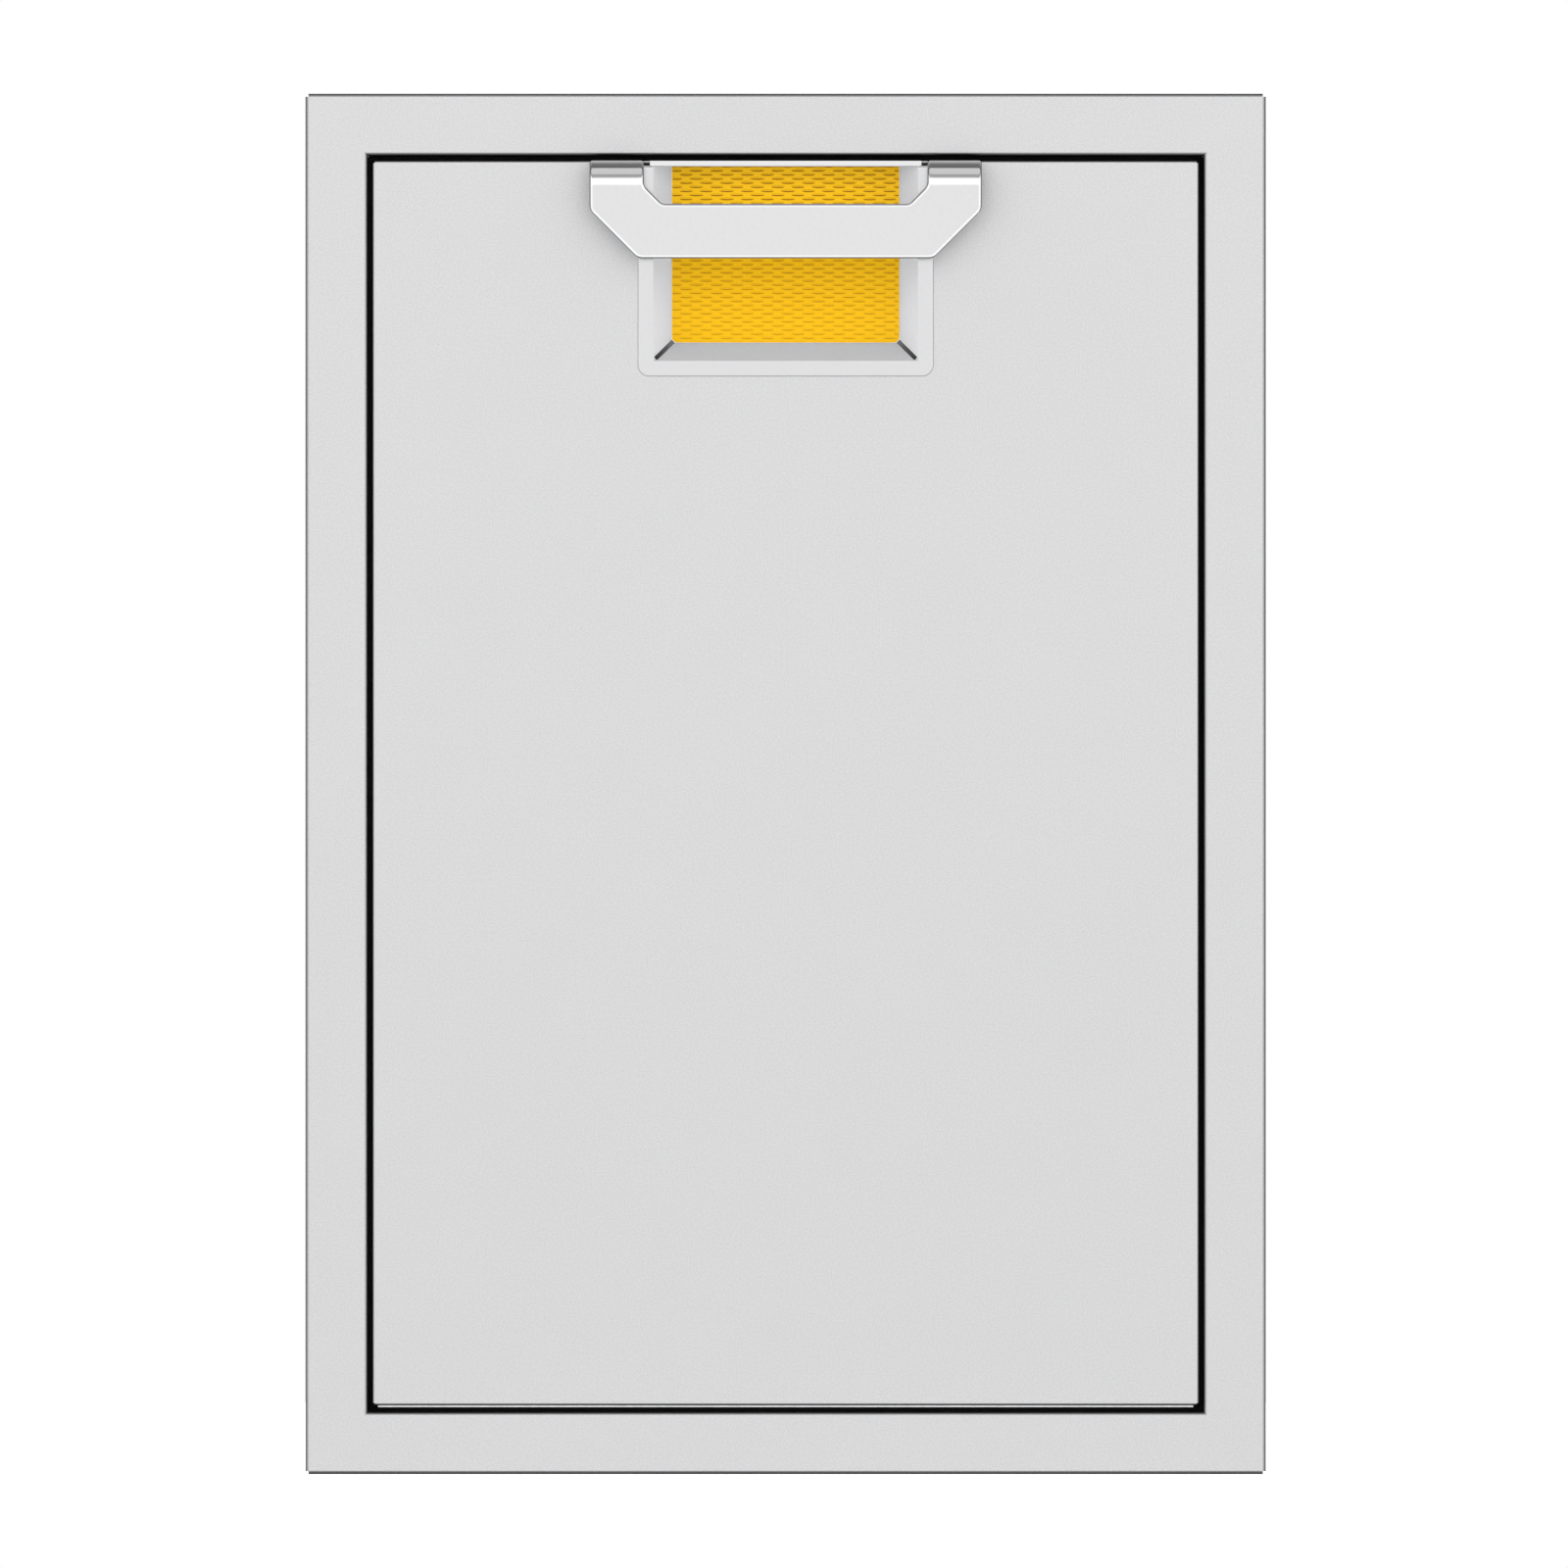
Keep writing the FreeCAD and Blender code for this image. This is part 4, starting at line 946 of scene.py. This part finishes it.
low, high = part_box("door_seal")
section = seal_section(high.y - low.y)
inset = section[:, 0]
corner = np.maximum(SEAL_CORNER - inset, SEAL_INNER_CORNER)
a, b = rounded_loop((high.x - low.x) / 2 - inset, (high.z - low.z) / 2 - inset, corner)
depth = np.broadcast_to(low.y + section[:, 1, None], a.shape)
loops = np.stack([a, depth, (low.z + high.z) / 2 + b], axis=-1)
seal = mesh_object("extruded_door_seal", loops, ring_quads(*loops.shape[:2], True))
dress(seal, "bumper_rubber", SEAL_CREASE)
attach(seal, "drawer")
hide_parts("door_seal")
print("seal volume", round(volume(seal), 2), "cm3")

# %% [markdown]
# ## The pull handle
# The handle is one polished plate, cut to a broad U and bent back twice at the top of each arm: once over to
# the door and once down onto it. Its edges are ground fully round, and on polished metal such an edge shows
# as a white line beside a dark one, which the polished finish strengthens with a painted highlight and a
# painted dark line. Bevelling a folded mesh tears at the bends, so the plate is made as in the workshop: the
# flat pattern comes first, with round corners and a round edge, and then every point is carried round the
# bends. The outer and the inner edge of the U have equally many stations, and the plate is woven between
# them.

# %% Flat pattern
OUTLINE_ARC = 7


def rounded_outline(corners, radii, runs, inset):
    """An outline with arcs for corners, moved to its left by each inset: insets by stations by (x, u).

    An arc's centre lies a radius from both of its lines, to the left where the outline turns left. A point
    of the arc is the centre less the turning normal times (signed radius less inset), so one centre serves
    every inset. The straight runs between the arcs are divided evenly, each by its own count.
    """
    corners = np.asarray(corners)
    inset = inset[:, None]
    ahead = np.diff(corners, axis=0)
    ahead /= np.linalg.norm(ahead, axis=1, keepdims=True)
    left = np.stack([-ahead[:, 1], ahead[:, 0]], axis=1)
    turned_left = (left[:-1] * ahead[1:]).sum(axis=1)
    turn = np.arctan2(turned_left, (ahead[:-1] * ahead[1:]).sum(axis=1))[:, None]
    signed = np.sign(turn) * np.asarray(radii)[:, None]
    centre = corners[1:-1] + left[:-1] * signed - ahead[:-1] * signed * np.tan(turn / 2)
    angle = (turn * np.linspace(0, 1, OUTLINE_ARC))[..., None]
    normal = np.cos(angle) * left[:-1, None] - np.sin(angle) * ahead[:-1, None]
    arcs = centre[:, None] - normal * (signed[:, None] - inset[:, None, None])
    stops = list(arcs.transpose(1, 0, 2, 3)) + [(corners[-1] + left[-1] * inset)[:, None]]
    stations = [(corners[0] + left[0] * inset)[:, None]]
    for stop, count in zip(stops, runs):
        share = np.linspace(0, 1, count + 2)[1:-1, None]
        stations += [stations[-1][:, -1:] * (1 - share) + stop[:, :1] * share, stop]
    return np.concatenate(stations, axis=1)


print("an outline corner has", OUTLINE_ARC, "points")

# %% Bends
HANDLE_BEND = 13.2 * MM
TAB_BEND = 4.5 * MM
QUARTER = math.pi / 2


def folded(x, u, depth, low, high):
    """A point of the flat pattern on the bent plate.

    u is the way up the show side from the lower edge: a straight front, a quarter turn, a straight top, a
    second quarter turn and a straight tab. In a turn the point moves by radius times sine, and radius times
    one less cosine. depth goes into the plate, against the show side's normal, which leans by both angles.
    """
    front = high.z - low.z - HANDLE_BEND
    top = high.y - low.y - HANDLE_BEND - TAB_BEND
    top_start = front + HANDLE_BEND * QUARTER
    first = np.clip((u - front) / HANDLE_BEND, 0, QUARTER)
    second = np.clip((u - top_start - top) / TAB_BEND, 0, QUARTER)
    down = np.maximum(u - top_start - top - TAB_BEND * QUARTER, 0)
    over = np.clip(u - top_start, 0, top)
    y = low.y + HANDLE_BEND * (1 - np.cos(first)) + over + TAB_BEND * np.sin(second)
    z = low.z + np.minimum(u, front) + HANDLE_BEND * np.sin(first) - TAB_BEND * (1 - np.cos(second)) - down
    return np.stack([x, y + depth * np.cos(first + second), z - depth * np.sin(first + second)], axis=-1)


print("bends of", HANDLE_BEND / MM, "and", TAB_BEND / MM, "mm radius")

# %% Handle
HANDLE_PLATE = 3.0 * MM
HANDLE_ARM = 28.7 * MM
HANDLE_BAND = 28.8 * MM
HANDLE_BEVEL = 25.7 * MM
HANDLE_INNER_BEVEL = 9.6 * MM
HANDLE_TAB = 21.0 * MM
TAB_IN_FROM_OUTER = 2.2 * MM
TAB_IN_FROM_INNER = 4.4 * MM
TAB_SLOPE = 2.2 * MM
OUTER_RADII = [6.0 * MM, 6.0 * MM, 2.0 * MM, 0.6 * MM]
INNER_RADII = [5.0 * MM, 5.0 * MM, 2.0 * MM, 0.6 * MM]
HANDLE_RUNS = [36, 2, 44, 4, 12, 4, 44, 2, 36]
EDGE_STEPS = 13
EDGE_MARGIN = 0.2 * MM
PLATE_COLUMNS = 14


def bent_handle(low, high):
    """Loops round the plate's section, one for each station from the left tab's end to the right tab's end.

    A loop goes across the show side, round the outer edge by a half circle, back across the hidden side and
    round the inner edge.
    """
    half = (high.x - low.x) / 2
    inner = half - HANDLE_ARM
    shoulder = high.z - low.z - HANDLE_BEND * (1 - QUARTER)
    end = shoulder + high.y - low.y - HANDLE_BEND - TAB_BEND * (2 - QUARTER) + HANDLE_TAB
    outer_tab = half - TAB_IN_FROM_OUTER
    inner_tab = inner + TAB_IN_FROM_INNER
    neck = shoulder + TAB_SLOPE
    outer_side = [(half - HANDLE_BEVEL, 0), (half, HANDLE_BEVEL), (half, shoulder), (outer_tab, neck)]
    inner_side = [(inner - HANDLE_INNER_BEVEL, HANDLE_BAND), (inner, HANDLE_BAND + HANDLE_INNER_BEVEL)]
    inner_side += [(inner, shoulder), (inner_tab, neck)]

    def outline(side, tab, radii, inset):
        """One edge of the U from tab to tab, from its right half and the mirrored left half."""
        right = side + [(tab, end)]
        corners = [(-x, u) for x, u in reversed(right)] + right
        return rounded_outline(corners, radii[::-1] + radii, HANDLE_RUNS, inset)

    swing = np.linspace(0, np.pi, EDGE_STEPS)
    edge = HANDLE_PLATE / 2
    edge_inset = edge * (1 - np.sin(swing))
    edge_depth = edge * (1 - np.cos(swing))
    margin = np.array([edge + EDGE_MARGIN])
    across = np.linspace(0, 1, PLATE_COLUMNS)[:, None, None]
    outer_line = outline(outer_side, outer_tab, OUTER_RADII, margin)
    inner_line = outline(inner_side, inner_tab, INNER_RADII, -margin)
    plate = inner_line * (1 - across) + outer_line * across
    inner_edge = outline(inner_side, inner_tab, INNER_RADII, -edge_inset)
    outer_edge = outline(outer_side, outer_tab, OUTER_RADII, edge_inset)
    pattern = np.concatenate([plate, outer_edge, plate[::-1], inner_edge[::-1]]).transpose(1, 0, 2)
    show = np.zeros(PLATE_COLUMNS)
    hidden = np.full(PLATE_COLUMNS, HANDLE_PLATE)
    depth = np.concatenate([show, edge_depth, hidden, edge_depth[::-1]])
    return folded(pattern[..., 0], pattern[..., 1], depth, low, high)


print("a loop round the plate has", 2 * (PLATE_COLUMNS + EDGE_STEPS), "points")

# %% Handle in its place
HANDLE_CREASE = 40

handle = mesh_object("bent_pull_handle", *capped_shell(bent_handle(*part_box("pull_handle"))))
dress(handle, "polished_steel", HANDLE_CREASE)
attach(handle, "drawer")
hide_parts("pull_handle")
print("handle:", len(handle.data.polygons), "faces,", round(volume(handle), 2), "cm3 of steel")

# %% [markdown]
# ## Socket screws
# The door, the slides and the rear wall are held by pan-head screws with a hexagonal socket. The solids have
# plain heads, so these screws are turned as on a lathe: a profile of (radius, height) pairs goes round the
# axis. Inside the head the circle becomes a hexagon: its radius at an angle is the flat's distance over the
# cosine of the angle from the middle of that flat. The frame already says where every screw is, so the seats
# are read from it.

# %% One screw
SCREW_TURNS = 36
SCREW_SHANK = 2.4 * MM
SCREW_CHAMFER = 0.5 * MM
HEAD_HEIGHT = 2.6 * MM
HEAD_EDGE = 0.9 * MM
SOCKET_FLAT = 1.5 * MM
SOCKET_DEPTH = 1.5 * MM
SOCKET_FLARE = 1.06
SOCKET_LEAD = 0.1 * MM


def turned_screw(length, head_radius):
    """One screw as loops, from its tip to the floor of its socket, with its seat at height 0."""
    angle = np.linspace(0, 2 * np.pi, SCREW_TURNS, endpoint=False)
    flat_angle = (angle + np.pi / 6) % (np.pi / 3) - np.pi / 6
    hexagon = SOCKET_FLAT / np.cos(flat_angle)
    dome = np.linspace(0, np.pi / 2, ARC_STEPS)
    crown_radius = head_radius - HEAD_EDGE * 2 * (1 - np.cos(dome))
    crown_height = HEAD_HEIGHT - HEAD_EDGE * (1 - np.sin(dome))
    tip = SCREW_SHANK - SCREW_CHAMFER
    circle_radius = np.concatenate([[tip, SCREW_SHANK, SCREW_SHANK, head_radius], crown_radius])
    circle_height = np.concatenate([[-length, SCREW_CHAMFER - length, 0, 0], crown_height])
    socket_height = [HEAD_HEIGHT, HEAD_HEIGHT - SOCKET_LEAD, HEAD_HEIGHT - SOCKET_DEPTH]
    circles = np.outer(circle_radius, np.ones(SCREW_TURNS))
    radius = np.concatenate([circles, [hexagon * SOCKET_FLARE, hexagon, hexagon]])
    height = np.concatenate([circle_height, socket_height])
    return radius * np.cos(angle), radius * np.sin(angle), np.outer(height, np.ones(SCREW_TURNS))


print("a screw head is", HEAD_HEIGHT / MM, "mm high")

# %% Screws in their seats
SCREW_REACH = 12.0 * MM
SCREW_CREASE = 35
HEADS_LOOK = {
    "door_screws": (0, 1, 0),
    "rear_screws": (0, 1, 0),
    "left_slide_screws": (1, 0, 0),
    "right_slide_screws": (-1, 0, 0),
}
bodies = frame["record"]["behaviour"]["bodies"]


def socket_screws(node, look):
    """All screws of a group in one mesh, each turned about the direction in which its head looks."""
    ahead = np.array(look, dtype=float)
    first = np.roll(np.abs(ahead), 1)
    second = np.cross(ahead, first)
    left = mesh_points(frame["nodes"][node].data)
    shells, faces = [], []
    while len(left):
        apart = np.linalg.norm(np.cross(left - left[0], ahead), axis=1)
        screw = left[apart < SCREW_REACH]
        left = left[apart >= SCREW_REACH]
        along = screw @ ahead
        middle = (screw.min(axis=0) + screw.max(axis=0)) / 2
        seat = middle + ahead * (along.max() - HEAD_HEIGHT - middle @ ahead)
        head_radius = np.ptp(screw @ first) / 2
        u, v, h = turned_screw(along.max() - along.min() - HEAD_HEIGHT, head_radius)
        loops = seat + u[..., None] * first + v[..., None] * second + h[..., None] * ahead
        start = sum(len(shell) for shell in shells)
        shell, rings = capped_shell(loops)
        shells.append(shell.reshape(-1, 3))
        faces += [[start + corner for corner in ring] for ring in rings]
    made = mesh_object("socket_" + node, np.concatenate(shells), faces)
    dress(made, "fastener_steel", SCREW_CREASE)
    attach(made, next(body for body, nodes in bodies.items() if node in nodes))
    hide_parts(node)
    print(made.name, "has", len(shells), "screws,", round(volume(made), 3), "cm3")


for node, look in HEADS_LOOK.items():
    socket_screws(node, look)
